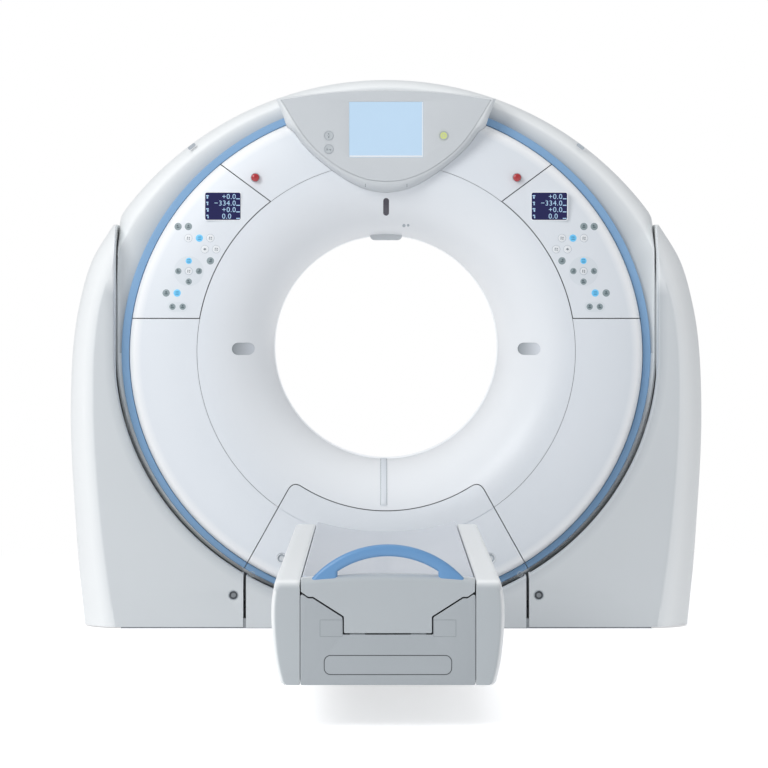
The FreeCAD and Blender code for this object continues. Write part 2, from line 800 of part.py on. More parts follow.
def voltage_tank():
    middle = axis_height + tank_rise
    tall, short = tank_half
    upper = [(tank_x[0], tall), (tank_x[1], tall), (tank_x[2], short)]
    outline = upper + [(x, -z) for x, z in upper[::-1]]
    return prism([(x, middle + z) for x, z in outline], (tank_front, disc_y[0]))


def column_tube(level):
    """Telescopic column: level 0 is the outermost tube, on the floor."""
    inset = level * (column_wall + column_fit)
    low = plate_thickness + level * column_step
    y = (column_y[0] + inset, column_y[1] - inset)
    x = column_half - inset
    w = column_wall
    outer = block((-x, x), y, (low, low + column_height))
    return outer.cut(block((w - x, x - w), (y[0] + w, y[1] - w), (low - 1, low + column_height + 1)))


def couch_base():
    """Foot with the outermost column tube, and the low tongue that lines it up with the gantry."""
    plate = block((-column_half - foot_margin, column_half + foot_margin),
                  (column_y[0] - foot_margin, column_y[1] + foot_margin), (0, plate_thickness))
    tongue = block((-tongue_half, tongue_half), (column_y[1], -stand_front + skin), (0, cover_lift))
    return plate.fuse([tongue, column_tube(0)]).removeSplitter()


def well_line(drop):
    """Stepped right flank of the carriage, top to bottom, or its slot lowered by a gap."""
    edge, step, slope, throat, heel = well_steps
    return [(edge[0], edge[1] - drop), (step[0], step[1] - drop), (slope[0] + drop * 0.3, slope[1] - drop),
            (throat[0] + drop, throat[1] - drop * 0.6), (heel[0] + drop, heel[1] - drop)]


def couch_frame():
    """Inverted trough: legs outside, a stepped well for the carriage on top."""
    shelf = well_line(slot_gap + 1.0)[1:]
    side = well_half + 0.5
    low = couch_low + 13.0
    inner = side - deck_wall
    right = [(side, low), (side, shelf[0][1])] + shelf[1:]
    inside = [(-inner, low), (-inner, deck_height - deck_thickness), (inner, deck_height - deck_thickness),
              (inner, low)]
    y = (couch_near + skin, couch_far - skin)
    beam = prism(inside + right + mirror_points(right), y)
    rail = block(rail_x, y, (deck_height - 1.0, well_steps[-1][1] - 0.4))
    top = plate_thickness + 3 * column_step + column_height
    riser_x = column_half - 3 * (column_wall + column_fit)
    riser_y = (column_y[0] + column_half - riser_x, column_y[1] - column_half + riser_x)
    riser = block((-riser_x, riser_x), riser_y, (top, deck_height - deck_thickness))
    return beam.fuse([rail, mirrored(rail), column_tube(3), riser]).removeSplitter()


def side_points(inset):
    inner = well_half + 1.0 + inset
    edge, top = side_top_half - inset, couch_top - inset
    low = couch_low - (20.0 if inset else 0.0)
    corner = side_round * (1.0 - math.sqrt(0.5))
    points = path((inner, low), [(inner, top)], [(edge - side_round, top)],
                  [(edge - corner, top - corner), (edge, top - side_round), 3],
                  [(side_bulge[0] - inset, side_bulge[1]), (side_low_half - inset, couch_low), 6])
    return points + ([(side_low_half - inset, low)] if inset else [])


def couch_side_cover():
    outer = prism(side_points(0.0), (couch_near, couch_far))
    return outer.cut(prism(side_points(skin), (couch_near + skin, couch_far - skin)))


def couch_near_cover():
    edge = well_line(slot_gap)
    right = [(well_half - 1.0, couch_low)] + edge
    return prism(right + mirror_points(right), (couch_near, couch_near + skin))


def couch_far_cover():
    half = well_half - 1.0
    return block((-half, half), (couch_far - skin, couch_far), (couch_low, far_cover_top))


def cap_top(x):
    return cap_crown - (cap_crown - cap_edge) * (x / (well_half - 1.5)) ** 2


def cradle_carriage():
    """End cap that fills the well's mouth, with the runner that carries the cradle behind it."""
    half = well_half - 1.5
    step = well_line(0.0)
    right = [(half, step[0][1])] + step[1:]
    crown = [(half * i / 5, cap_top(half * i / 5)) for i in range(-5, 6)]
    start = couch_near + cap_depth
    cap = prism(right + mirror_points(right) + crown, (couch_near, start))
    flank = step[2:]
    return cap.fuse(prism(flank + mirror_points(flank), (start, start + carriage_length))).removeSplitter()


def cradle():
    rim, rim_z = cradle_rim
    low = cradle_dip - cradle_thickness
    corner = (rim + cradle_edge[0], rim_z - cradle_edge[1])
    points = path((-rim, rim_z), [(0, cradle_dip), (rim, rim_z), 12], [corner],
                  [(0, low), (-corner[0], corner[1]), 12])
    return prism(points, (couch_near + cap_depth, couch_far))


def handle():
    rise = handle_top - cap_edge
    radius = (handle_half ** 2 + rise ** 2) / (2 * rise)
    centre = handle_top - radius
    inner = radius - handle_band
    post_z = centre + math.sqrt(inner ** 2 - handle_post ** 2)
    foot = (handle_half, cap_top(handle_half) + 0.5)
    heel = (handle_post, cap_top(handle_post) + 0.5)
    points = path((-foot[0], foot[1]), [(0, handle_top), foot, 14], [heel], [(handle_post, post_z)],
                  [(0, centre + inner), (-handle_post, post_z), 8], [(-heel[0], heel[1])])
    return prism(points, (couch_near + 5.0, couch_near + 5.0 + handle_depth))


def build():
    nodes = covers()
    nodes.update(console_parts())
    for name, place in key_places.items():
        nodes[name] = console_key(place)
    front, rear, frame, side = stand_front_cover(), stand_rear_cover(), stand_frame(), couch_side_cover()
    nodes.update({
        "stop_button_right": stop_button(1),
        "stop_button_left": stop_button(-1),
        "door_locks": cover_locks(door_lock_place, door_lock_face),
        "trim_ring": trim_ring(),
        "scan_window": scan_window(),
        "bore_indicator": bore_indicator(),
        "funnel_strip": funnel_strip(),
        "arch_shell": arch_shell(),
        "lower_tub": lower_tub(),
        "rear_cover": rear_cover(),
        "stand_front_cover_right": front,
        "stand_front_cover_left": mirrored(front),
        "stand_rear_cover_right": rear,
        "stand_rear_cover_left": mirrored(rear),
        "base_front_cover": skirt_cover(base_split - base_gap / 2, -stand_front, -skirt_depth),
        "rear_skirt": skirt_cover(stand_inner - seam, skirt_rear, skirt_depth),
        "base_cover_locks": cover_locks(lock_place, stand_front - 1.0),
        "floor_base": floor_base(),
        "stand_frame_right": frame,
        "stand_frame_left": mirrored(frame),
        "trunnion_bearings": both(trunnion_bearing()),
        "tilt_gearmotor": tilt_gearmotor(),
        "power_unit": power_unit(),
        "tilt_frame": tilt_frame(),
        "bearing_outer_ring": bearing_outer_ring(),
        "bearing_inner_ring": bearing_inner_ring(),
        "drive_stator": drive_stator(),
        "brush_block": brush_block(),
        "rotor_disc": rotor_disc(),
        "slip_ring": slip_ring(),
        "xray_tube": xray_tube(),
        "collimator": collimator(),
        "detector_arc": detector_arc(),
        "voltage_tanks": both(voltage_tank()),
        "couch_base": couch_base(),
        "lift_stage_lower": column_tube(1),
        "lift_stage_upper": column_tube(2),
        "couch_frame": couch_frame(),
        "couch_side_cover_right": side,
        "couch_side_cover_left": mirrored(side),
        "couch_near_cover": couch_near_cover(),
        "couch_far_cover": couch_far_cover(),
        "cradle": cradle(),
        "cradle_carriage": cradle_carriage(),
        "couch_handle": handle(),
    })
    return nodes


def main():
    os.makedirs("parts", exist_ok=True)
    for name, shape in build().items():
        shape.exportStep("parts/" + name + ".step")
        print(name, len(shape.Solids), shape.isValid(), round(shape.Volume / 1000.0))


main()
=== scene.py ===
import bmesh
import bpy
import math
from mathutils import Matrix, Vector
from mathutils.bvhtree import BVHTree


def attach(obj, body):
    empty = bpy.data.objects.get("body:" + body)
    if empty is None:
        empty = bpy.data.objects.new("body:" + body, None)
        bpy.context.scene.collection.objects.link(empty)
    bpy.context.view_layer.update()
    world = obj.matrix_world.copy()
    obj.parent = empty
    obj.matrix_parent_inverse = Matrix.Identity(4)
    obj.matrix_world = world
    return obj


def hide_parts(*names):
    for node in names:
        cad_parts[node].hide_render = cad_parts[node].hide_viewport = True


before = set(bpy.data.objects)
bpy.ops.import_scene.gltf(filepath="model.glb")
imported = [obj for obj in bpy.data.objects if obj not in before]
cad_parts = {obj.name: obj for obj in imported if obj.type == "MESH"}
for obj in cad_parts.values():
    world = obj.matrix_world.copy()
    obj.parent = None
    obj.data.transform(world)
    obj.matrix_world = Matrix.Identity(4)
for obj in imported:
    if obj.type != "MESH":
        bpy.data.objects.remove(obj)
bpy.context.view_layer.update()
print("frame loaded")

# the gantry's sizes in metres, shared by its pieces
gantry = {
    "boreRadius": 0.3925, "axisHeight": 0.960, "ringHeight": 0.942, "windowHalf": 0.040,
    "hornRadius": 0.630, "frontCrown": 0.345, "drumFace": 0.250, "skin": 0.005,
    "coverFlat": (0.690, 0.672), "coverOval": (0.8822, 0.8535), "coverHeight": 0.9395, "coverDrop": 0.0292,
    "edgeRadius": 0.030, "edgeStart": 19.0, "sides": 192, "seamHeight": 0.948, "seamRadius": 0.648,
}
ringZ, axisZ, coverZ = gantry["ringHeight"], gantry["axisHeight"], gantry["coverHeight"]
hornSpan, hornDepth = gantry["hornRadius"] - gantry["boreRadius"], gantry["frontCrown"] - gantry["windowHalf"]
cutNear, cutFar = -0.400, -0.200  # how far a tool that cuts the front runs


# small tools for turns, in radians: the steps of a right angle and of a full turn
def quarter(steps):
    return [math.pi / 2 * i / steps for i in range(steps + 1)]


def fullTurn(count):
    return [2 * math.pi * i / count for i in range(count)]


def hornPlace(turn, inset=0.0):  # radius and depth of the front funnel along its flare
    return (gantry["hornRadius"] - (hornSpan - inset) * math.cos(turn),
            -(gantry["windowHalf"] + (hornDepth - inset) * math.sin(turn)))


# small tools for meshes
def newPiece(name, points, faces):
    mesh = bpy.data.meshes.new(name)
    mesh.from_pydata(points, [], faces)
    form = bmesh.new()
    form.from_mesh(mesh)
    bmesh.ops.remove_doubles(form, verts=form.verts, dist=1e-6)
    bmesh.ops.recalc_face_normals(form, faces=form.faces)
    form.to_mesh(mesh)
    form.free()
    piece = bpy.data.objects.new(name, mesh)
    bpy.context.scene.collection.objects.link(piece)
    return piece


def ringFaces(a, b, count):  # between two closed rows of points, from the index each starts at
    return [(a + i, a + (i + 1) % count, b + (i + 1) % count, b + i) for i in range(count)]


def loftParts(rows, wrapped=False):  # closed at its ends, or wrapped from its last row to its first
    count = len(rows[0])
    points = [p for row in rows for p in row]
    faces = []
    for j in range(len(rows) if wrapped else len(rows) - 1):
        a, b = j * count, (j + 1) % len(rows) * count
        faces += ringFaces(a, b, count)
    if not wrapped:
        last = (len(rows) - 1) * count
        faces += [tuple(range(count))[::-1], tuple(range(last, last + count))]
    return points, faces


def loft(name, rows, wrapped=False):
    return newPiece(name, *loftParts(rows, wrapped))


def prism(name, outline, near, far):  # an outline of x and z, from one depth to another
    return loft(name, [[(x, y, z) for x, z in outline] for y in (near, far)])


def together(name, parts):  # several closed forms in one mesh
    points, faces = [], []
    for somePoints, someFaces in parts:
        start = len(points)
        points += somePoints
        faces += [tuple(start + i for i in face) for face in someFaces]
    return newPiece(name, points, faces)


def carve(piece, tool, how="DIFFERENCE", keep=False, solver="MANIFOLD"):  # the tool goes, unless it is kept
    step = piece.modifiers.new("carve", "BOOLEAN")
    step.operation, step.solver, step.object = how, solver, tool
    cut = bpy.data.meshes.new_from_object(piece.evaluated_get(bpy.context.evaluated_depsgraph_get()))
    piece.modifiers.clear()
    piece.data = cut
    if not keep:
        bpy.data.objects.remove(tool)
    return piece


def copyOf(piece, name):
    twin = bpy.data.objects.new(name, piece.data.copy())
    bpy.context.scene.collection.objects.link(twin)
    return twin


def mirrorOf(piece, name):
    twin = copyOf(piece, name)
    for vertex in twin.data.vertices:
        vertex.co.x = -vertex.co.x
    twin.data.flip_normals()
    return twin


def dress(piece, body, finish, nodes=(), sharp=32.0):
    piece.data.materials.clear()
    piece.data.materials.append(finish)
    piece.data.shade_smooth()
    piece.data.set_sharp_from_angle(angle=math.radians(sharp))
    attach(piece, body)
    if nodes:
        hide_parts(*nodes)
    return piece


# small tools for outlines: lists of (x, z)
def ovalRow(a, b, y, z=ringZ, count=gantry["sides"], x=0.0):
    return [(x + a * math.cos(t), y, z + b * math.sin(t)) for t in fullTurn(count)]


def circle(radius, x=0.0, z=axisZ, count=gantry["sides"]):
    return [(x + radius * math.cos(t), z + radius * math.sin(t)) for t in fullTurn(count)]


def smoothLine(points, steps=8):  # passes through every point
    line = []
    padded = [points[0]] + list(points) + [points[-1]]
    for a, b, c, d in zip(padded, padded[1:], padded[2:], padded[3:]):
        for i in range(steps):
            t = i / steps
            line.append(tuple(0.5 * (2 * q + (r - p) * t + (2 * p - 5 * q + 4 * r - s) * t * t
                                     + (3 * q - p - 3 * r + s) * t ** 3) for p, q, r, s in zip(a, b, c, d)))
    return line + [tuple(points[-1])]


def resample(line, count):  # count + 1 points at even spacing
    lengths = [math.dist(a, b) for a, b in zip(line, line[1:])]
    total, out, at, i = sum(lengths), [line[0]], 0.0, 0
    for k in range(1, count):
        target = total * k / count
        while at + lengths[i] < target:
            at += lengths[i]
            i += 1
        t = (target - at) / lengths[i]
        out.append(tuple(a + (b - a) * t for a, b in zip(line[i], line[i + 1])))
    return out + [line[-1]]


def offset(points, by):  # outward for an outline that runs anticlockwise
    out = []
    for i in range(len(points)):
        (ax, az), (bx, bz), (cx, cz) = points[i - 1], points[i], points[(i + 1) % len(points)]
        first, second = Vector((bz - az, ax - bx)), Vector((cz - bz, bx - cx))
        if first.length < 1e-9 or second.length < 1e-9:
            out.append((bx, bz))
            continue
        first.normalize()
        second.normalize()
        way = (first + second) / max(1.0 + first.dot(second), 0.3)
        out.append((bx + way.x * by, bz + way.y * by))
    return out


def roundCorners(points, radii, steps=6):
    out = []
    for i, (corner, radius) in enumerate(zip(points, radii)):
        here = Vector(corner)
        before, after = Vector(points[i - 1]) - here, Vector(points[(i + 1) % len(points)]) - here
        if radius <= 0:
            out.append(tuple(here))
            continue
        half = before.angle(after) / 2
        run = min(radius / math.tan(half), 0.49 * before.length, 0.49 * after.length)
        start, end = here + before.normalized() * run, here + after.normalized() * run
        pull = 1 - 0.5523 * min(1.0, (math.pi - 2 * half) / (math.pi / 2)) * radius / run if run > 0 else 0
        a, b = start.lerp(here, 1 - pull), end.lerp(here, 1 - pull)
        for k in range(steps + 1):
            t = k / steps
            s = 1 - t
            out.append(tuple(s ** 3 * start + 3 * s ** 2 * t * a + 3 * s * t * t * b + t ** 3 * end))
    return out


def box(x0, x1, z0, z1):
    return [(x0, z0), (x1, z0), (x1, z1), (x0, z1)]


def roundBox(x0, x1, z0, z1, radius, steps=3):
    return roundCorners(box(x0, x1, z0, z1), [radius] * 4, steps)


def slotShape(width, height, x, z, steps=10):
    radius = min(width, height) / 2 * 0.999
    return roundBox(x - width / 2, x + width / 2, z - height / 2, z + height / 2, radius, steps)


def mirrored(points):
    return [(-x, z) for x, z in points[::-1]]


def turned(profile, x, z, count=48):  # closed form turned about a line along Y, from (radius, y) pairs
    return loftParts([ovalRow(r, r, y, z, count, x) for r, y in profile])


def paintTone(piece, rule):  # the attribute for painted light and shade, and the lighter colour of two-tone paint, from 0 to 1 at each point
    values = piece.data.attributes.new("paintedLightTone", "FLOAT", "POINT")
    for i, vertex in enumerate(piece.data.vertices):
        values.data[i].value = max(0.0, min(1.0, rule(vertex.co)))


# finishes
def hexColour(text):
    values = [int(text[i:i + 2], 16) / 255 for i in (1, 3, 5)]
    return [v / 12.92 if v <= 0.04045 else ((v + 0.055) / 1.055) ** 2.4 for v in values] + [1.0]


def addNode(tree, kind, options=None, values=None, links=None):
    node = tree.nodes.new("ShaderNode" + kind)
    for name, value in (options or {}).items():
        setattr(node, name, value)
    for name, value in (values or {}).items():
        node.inputs[name].default_value = value
    for name, (source, output) in (links or {}).items():
        tree.links.new(source.outputs[output], node.inputs[name])
    return node


def newFinish(name):
    finish = bpy.data.materials.new(name)
    finish.use_nodes = True
    finish.node_tree.nodes.clear()
    return finish, finish.node_tree


def twoTones(tree, factor, first, second):
    colour = addNode(tree, "Mix", {"data_type": "RGBA"}, links={"Factor": factor})
    colour.inputs["A"].default_value = hexColour(first)
    colour.inputs["B"].default_value = hexColour(second)
    return colour, "Result"


def grained(tree, vector, mm, detail, rough, bump):  # the grain, its roughness and its relief
    grain = addNode(tree, "TexNoise", values={"Scale": 1000 / mm, "Detail": detail}, links={"Vector": vector})
    source = (grain, "Fac")
    value = addNode(tree, "MapRange", values={"To Min": rough[0], "To Max": rough[1]}, links={"Value": source})
    relief = addNode(tree, "Bump", values={"Strength": bump, "Distance": mm / 4000}, links={"Height": source})
    return grain, {"Roughness": (value, "Result"), "Normal": (relief, "Normal")}


# moulded and painted plastics: a slow drift of colour over a hand's width and a fine grain that softens the shine;
# an edge colour, where given, brings in painted light and shade
def moulded(name, colour, drift, mm, rough, bump, driftMm=260, edge=None, glow=None, coat=0.0, coatRough=0.1):
    finish, tree = newFinish(name)
    place = (addNode(tree, "TexCoord"), "Object")
    drifting = addNode(tree, "TexNoise", values={"Scale": 1000 / driftMm, "Detail": 2.0}, links={"Vector": place})
    base = twoTones(tree, (drifting, "Fac"), colour, drift)
    if edge:  # painted light and shade: the lighter colour that the painted-light attribute brings in
        paintedLightTone = addNode(tree, "Attribute", {"attribute_name": "paintedLightTone"})
        paintedLightMix = addNode(tree, "Mix", {"data_type": "RGBA"}, links={"Factor": (paintedLightTone, "Fac"), "A": base})
        paintedLightMix.inputs["B"].default_value = hexColour(edge)
        base = (paintedLightMix, "Result")
    surface = grained(tree, place, mm, 3.0, rough, bump)[1]
    values = {"IOR": 1.5, "Coat Weight": coat, "Coat Roughness": coatRough}
    shader = addNode(tree, "BsdfPrincipled", values=values, links={"Base Color": base, **surface})
    if glow:
        shader.inputs["Emission Color"].default_value = hexColour(glow[0])
        shader.inputs["Emission Strength"].default_value = glow[1]
    addNode(tree, "OutputMaterial", links={"Surface": (shader, "BSDF")})
    return finish


# metals: long fine strokes or cast grain in the roughness, default IOR
def metalFinish(name, colour, drift, mm, stretch, rough, bump):
    finish, tree = newFinish(name)
    place = (addNode(tree, "TexCoord"), "Object")
    strokes = addNode(tree, "Mapping", values={"Scale": stretch}, links={"Vector": place})
    grain, surface = grained(tree, (strokes, "Vector"), mm, 4.0, rough, bump)
    base = twoTones(tree, (grain, "Fac"), colour, drift)
    shader = addNode(tree, "BsdfPrincipled", values={"Metallic": 1.0}, links={"Base Color": base, **surface})
    addNode(tree, "OutputMaterial", links={"Surface": (shader, "BSDF")})
    return finish


finishes = {
    # painted structural foam: near white with a breath of blue, satin, so light falls off softly round the curves;
    # its edge colour is a painted highlight on the rolled rim and painted light in the funnel's throat
    "white": moulded("satinPaintedFoam", "#EBEFF4", "#E7ECF1", 3.0, (0.38, 0.50), 0.05, edge="#FDFEFF", coat=0.15,
                     coatRough=0.25),
    # the same paint in light grey on the stands and arch; its edge colour is painted light on the bevels, shoulder
    # and lip, and the grey deepens as painted shade beside the gap and the ring
    "stand": moulded("greyPaintedFoam", "#BEC4C8", "#B9BFC4", 3.0, (0.40, 0.52), 0.05, edge="#FCFEFE"),
    # console housing and face: warm light grey ABS with a fine spark texture, hardly any shine; its edge colour is
    # painted light on the housing's top edge and upper rim
    "console": moulded("sparkTexturedAbs", "#D3D7DA", "#CED2D5", 2.4, (0.46, 0.58), 0.08, edge="#F2F5F6"),
    # trim ring: dyed ABS, an even satin blue
    "blueTrim": moulded("blueSatinAbs", "#8AB1D6", "#84ACD3", 3.0, (0.34, 0.44), 0.04),
    # handle: the same blue, a little deeper and smoother from hands
    "blueHandle": moulded("blueGripAbs", "#6FA0CF", "#6899CA", 3.0, (0.28, 0.40), 0.04, coat=0.1),
    # couch covers: white painted ABS; the light grey on their near end is painted shade
    "couch": moulded("couchPaintedAbs", "#BEC4C7", "#B9BFC3", 3.0, (0.40, 0.52), 0.06, edge="#FAFCFC"),
    # couch end panel: the same paint, darkened to mid grey as painted shade
    "couchEndShade": moulded("paintedShadeGreyAbs", "#B3B9BD", "#AEB4B8", 3.0, (0.42, 0.54), 0.06, edge="#E2E6E9"),
    # cradle: gel-coated carbon composite, smooth pale grey blue with a soft sheen
    "cradle": moulded("gelCoatedComposite", "#D7DCE5", "#D2D8E1", 5.0, (0.26, 0.36), 0.02, coat=0.25),
    # scan window: thin matte polyester film, faintly cool; its white glow is painted light
    "film": moulded("mattePolyesterFilm", "#F6F9FB", "#F2F6F9", 8.0, (0.50, 0.62), 0.03, glow=("#FFFFFF", 0.30)),
    # displays: navy glass over lit characters
    "display": moulded("navyDisplayGlass", "#17174A", "#1A1A4E", 20.0, (0.10, 0.16), 0.0, glow=("#262660", 0.12)),
    # display characters: lit pale blue, soft enough not to bloom
    "digits": moulded("litDisplayDigits", "#7F9DBA", "#86A4C0", 4.0, (0.4, 0.5), 0.0, glow=("#BFE0F7", 0.45)),
    # console screen: lit pale blue behind clear glass
    "screen": moulded("litScreenGlass", "#8FA3B4", "#93A8BA", 20.0, (0.10, 0.15), 0.0, driftMm=180,
                      glow=("#C3DEF5", 0.5)),
    # laser window: smoked acrylic, dark and glossy
    "smoked": moulded("smokedAcrylic", "#5A565E", "#625E66", 10.0, (0.08, 0.14), 0.0),
    # side laser windows: frosted acrylic over a grey well, with painted shade darkening their left part
    "paleWindow": moulded("frostedAcrylic", "#9BA1A5", "#959B9F", 6.0, (0.18, 0.26), 0.0, edge="#E2E6EC"),
    # small grey mouldings: indicator, strip, rings and marks
    "greyTrim": moulded("greySatinAbs", "#B9C0C6", "#B3BAC0", 2.0, (0.40, 0.50), 0.05),
    # membrane keys: printed and domed polyester, satin, each in its colour
    "keyGrey": moulded("greyMembrane", "#98A6AA", "#91A0A4", 1.5, (0.36, 0.46), 0.05),
    # the blue keys' glow in their own colour is painted light
    "keyBlue": moulded("blueMembrane", "#6CC4F0", "#74CBF5", 1.5, (0.32, 0.42), 0.04, glow=("#6CC4F0", 0.15)),
    "keyWhite": moulded("whiteMembrane", "#F6F8FA", "#F1F4F7", 1.5, (0.36, 0.46), 0.04),
    # console keys: silicone caps, the start key faintly lit
    "keyGreen": moulded("limeSilicone", "#D3DC8C", "#CBD583", 1.5, (0.40, 0.50), 0.05, glow=("#D3DC8C", 0.1)),
    "keyCap": moulded("greySilicone", "#C6CBCE", "#BFC5C8", 1.5, (0.42, 0.52), 0.05),
    # printed fields and inks on the mouldings: flat and matt
    "panelField": moulded("whitePrintedFilm", "#E4E9EE", "#E0E6EB", 3.0, (0.40, 0.50), 0.03),
    # the pale grey ink also draws the painted shadow round each white key
    "paleInkAndShadow": moulded("paleGreyInkAndShadow", "#C3CAD0", "#BDC5CB", 1.5, (0.45, 0.55), 0.0),
    "couchField": moulded("greyCoverTape", "#9CA3A7", "#989FA3", 2.0, (0.42, 0.52), 0.03),
    "print": moulded("greyPrintedInk", "#8E969A", "#878F94", 1.5, (0.5, 0.6), 0.0),
    "darkPrint": moulded("darkGreyInk", "#66757B", "#5F6E74", 1.5, (0.5, 0.6), 0.0),
    "bluePrint": moulded("deepBlueInk", "#3F86AE", "#397FA6", 1.5, (0.5, 0.6), 0.0),
    # emergency stop: glossy red nylon
    "red": moulded("redNylon", "#B82F35", "#B02A31", 2.0, (0.16, 0.24), 0.03, coat=0.4),
    # gap seal: extruded rubber, light grey and quite matt
    "rubber": moulded("extrudedRubber", "#BFC3C5", "#B9BDC0", 2.0, (0.62, 0.74), 0.05),
    # recesses and hidden mouldings: dark ABS; it also draws the painted shadow strip in the couch end's groove
    "darkPocket": moulded("darkAbs", "#55595D", "#4C5054", 2.0, (0.5, 0.6), 0.05),
    # steel, cast aluminium and brass inside and below
    "steelPaint": moulded("greyPowderCoat", "#9DA1A5", "#94999D", 1.6, (0.42, 0.56), 0.12),
    "columnPaint": moulded("palePowderCoat", "#B9BEC2", "#B2B8BC", 1.6, (0.40, 0.52), 0.10),
    "motorPaint": moulded("darkEnamel", "#45484D", "#3E4146", 3.0, (0.34, 0.48), 0.08),
    "aluminium": metalFinish("castAluminium", "#C9CBCE", "#B6B9BD", 6.0, (1, 1, 1), (0.38, 0.52), 0.15),
    "steel": metalFinish("groundSteel", "#C4C6C9", "#B0B3B7", 2.0, (1, 12, 1), (0.22, 0.36), 0.05),
    "lockMetal": metalFinish("zincPlatedSteel", "#8B8F93", "#7C8084", 1.0, (1, 6, 1), (0.28, 0.42), 0.05),
    "zincPale": metalFinish("paleZincPlate", "#DCDFE2", "#D0D3D7", 1.0, (1, 6, 1), (0.36, 0.48), 0.05),
    "brass": metalFinish("turnedBrass", "#D9B468", "#C9A254", 2.0, (1, 10, 1), (0.22, 0.34), 0.05),
}
print("finishes ready")


# where the front moulding's surface is, for whatever sits on it
def frontDepth(x, z):
    g = gantry
    r = math.hypot(x, z - axisZ)
    if r < g["hornRadius"]:
        return hornPlace(math.acos(max(-1.0, min(1.0, (g["hornRadius"] - r) / hornSpan))))[1]
    (a0, b0), (a1, b1) = g["coverFlat"], slopeEnd()

    def beyond(w):
        return (x / (a0 + (a1 - a0) * w)) ** 2 + ((z - coverZ) / (b0 + (b1 - b0) * w)) ** 2 > 1
    if not beyond(0.0):
        return -g["frontCrown"]
    low, high = 0.0, 1.0
    for _ in range(30):
        middle = (low + high) / 2
        low, high = (middle, high) if beyond(middle) else (low, middle)
    return -g["frontCrown"] + g["coverDrop"] * low ** 2


def slopeEnd(radius=gantry["edgeRadius"]):
    inset = radius * (1 - math.sin(math.radians(gantry["edgeStart"])))
    return gantry["coverOval"][0] - inset, gantry["coverOval"][1] - inset


def hornRows(inset=0.0):  # the flare's rings from the bore out to the flat front
    return [ovalRow(r, r, y, axisZ) for r, y in [hornPlace(math.radians(5 * i), inset) for i in range(19)]]


def frontBlank(name):
    g = gantry

    def layer(inset):
        rows = hornRows(inset)
        (a0, b0), (a1, b1) = g["coverFlat"], slopeEnd()
        face = -g["frontCrown"] + inset
        rows += [ovalRow(a0 + (a1 - a0) * w - 0.3 * inset * w, b0 + (b1 - b0) * w - 0.3 * inset * w,
                         face + g["coverDrop"] * w * w, coverZ) for w in [i / 8 for i in range(8)]]
        big = g["edgeRadius"] - inset
        a, b = g["coverOval"][0] - inset, g["coverOval"][1] - inset
        corner = -g["frontCrown"] + g["coverDrop"] + g["edgeRadius"] * math.cos(math.radians(g["edgeStart"]))
        for i in range(9):
            turn = math.radians(g["edgeStart"] + (90 - g["edgeStart"]) * i / 8)
            inward = big * (1 - math.sin(turn))
            rows.append(ovalRow(a - inward, b - inward, corner - big * math.cos(turn), coverZ))
        rows.append(ovalRow(a, b, -g["drumFace"], coverZ))
        return rows
    return loft(name, layer(0.0) + layer(g["skin"])[::-1], wrapped=True)


# seams of the front mouldings: the circle, the panels' edges and the door
seams = {"circleGap": 0.0015, "panelGap": 0.0032, "doorGap": 0.0030, "grooveDepth": 0.0030, "grooveWidth": 0.0026,
         "panelCorner": (0.394, 1.461), "panelTop": (0.585, 1.603), "panelBottom": 1.062, "doorArc": 0.546,
         "doorCorner": (0.322, 0.500), "doorFoot": (0.495, 0.190), "doorRound": 0.036, "back": 0.010}


def panelOutline(grow):  # the right-hand panel, sloped above and level below
    (x, z), (tx, tz) = seams["panelCorner"], seams["panelTop"]
    run = math.hypot(tx - x, tz - z)
    ux, uz = (tx - x) / run, (tz - z) / run
    inner = (x - ux * run - uz * grow, z - uz * run + ux * grow)
    outer = (x + ux * 2 * run - uz * grow, z + uz * 2 * run + ux * grow)
    low = seams["panelBottom"] - grow
    return [(0.0, low), (1.0, low), (1.0, outer[1]), outer, inner]


def doorOutline(grow):  # an arc about the seams' centre, with sloped sides that run down out of the cover
    s = seams
    centre, corner, foot = Vector((0.0, gantry["seamHeight"])), Vector(s["doorCorner"]), Vector(s["doorFoot"])
    along = (corner - foot).normalized()
    reach = foot - centre
    b = reach.dot(along)
    start = foot + along * (-b - math.sqrt(b * b - reach.length_squared + s["doorArc"] ** 2))  # on the arc
    turn = math.atan2(start.y - centre.y, start.x - centre.x) - s["doorRound"] / s["doorArc"]
    onArc = [centre + Vector((math.cos(a), math.sin(a))) * s["doorArc"]
             for a in [-math.pi / 2 + (turn + math.pi / 2) * i / 40 for i in range(41)]]
    side = start - along * s["doorRound"]
    right = [tuple(p) for p in onArc[:-1]]
    for i in range(9):
        t = i / 8
        right.append(tuple((1 - t) ** 2 * onArc[-1] + 2 * (1 - t) * t * start + t * t * side))
    right.append(tuple(foot - along * 0.3))
    line = right[::-1] + [(-x, z) for x, z in right[1:]]
    return offset(line, grow) if grow else line


# console outline, the right half from its lowest point to the middle of its top
console = {
    "outer": [(0.0, 1.4936), (0.0641, 1.5035), (0.1221, 1.5281), (0.1797, 1.5652), (0.2376, 1.6109),
              (0.2871, 1.6603), (0.3161, 1.7016), (0.3399, 1.7200), (0.3540, 1.7600), (0.3760, 1.8135)],
    "inner": [(0.0, 1.5284), (0.0638, 1.5352), (0.1379, 1.5637), (0.1957, 1.6008), (0.2450, 1.6422),
              (0.2862, 1.6915), (0.3191, 1.7408), (0.3420, 1.7790), (0.3600, 1.8080)],
    "top": [(0.3760, 1.8135), (0.180, 1.8375), (0.0, 1.8450)],
    "innerTop": [(0.3600, 1.8080), (0.180, 1.8325), (0.0, 1.8402)],
    "front": 0.385, "shoulder": 0.352, "back": 0.250,
    "pocket": 0.004, "wall": 0.006, "fit": 0.0014, "gap": 0.0008,
}


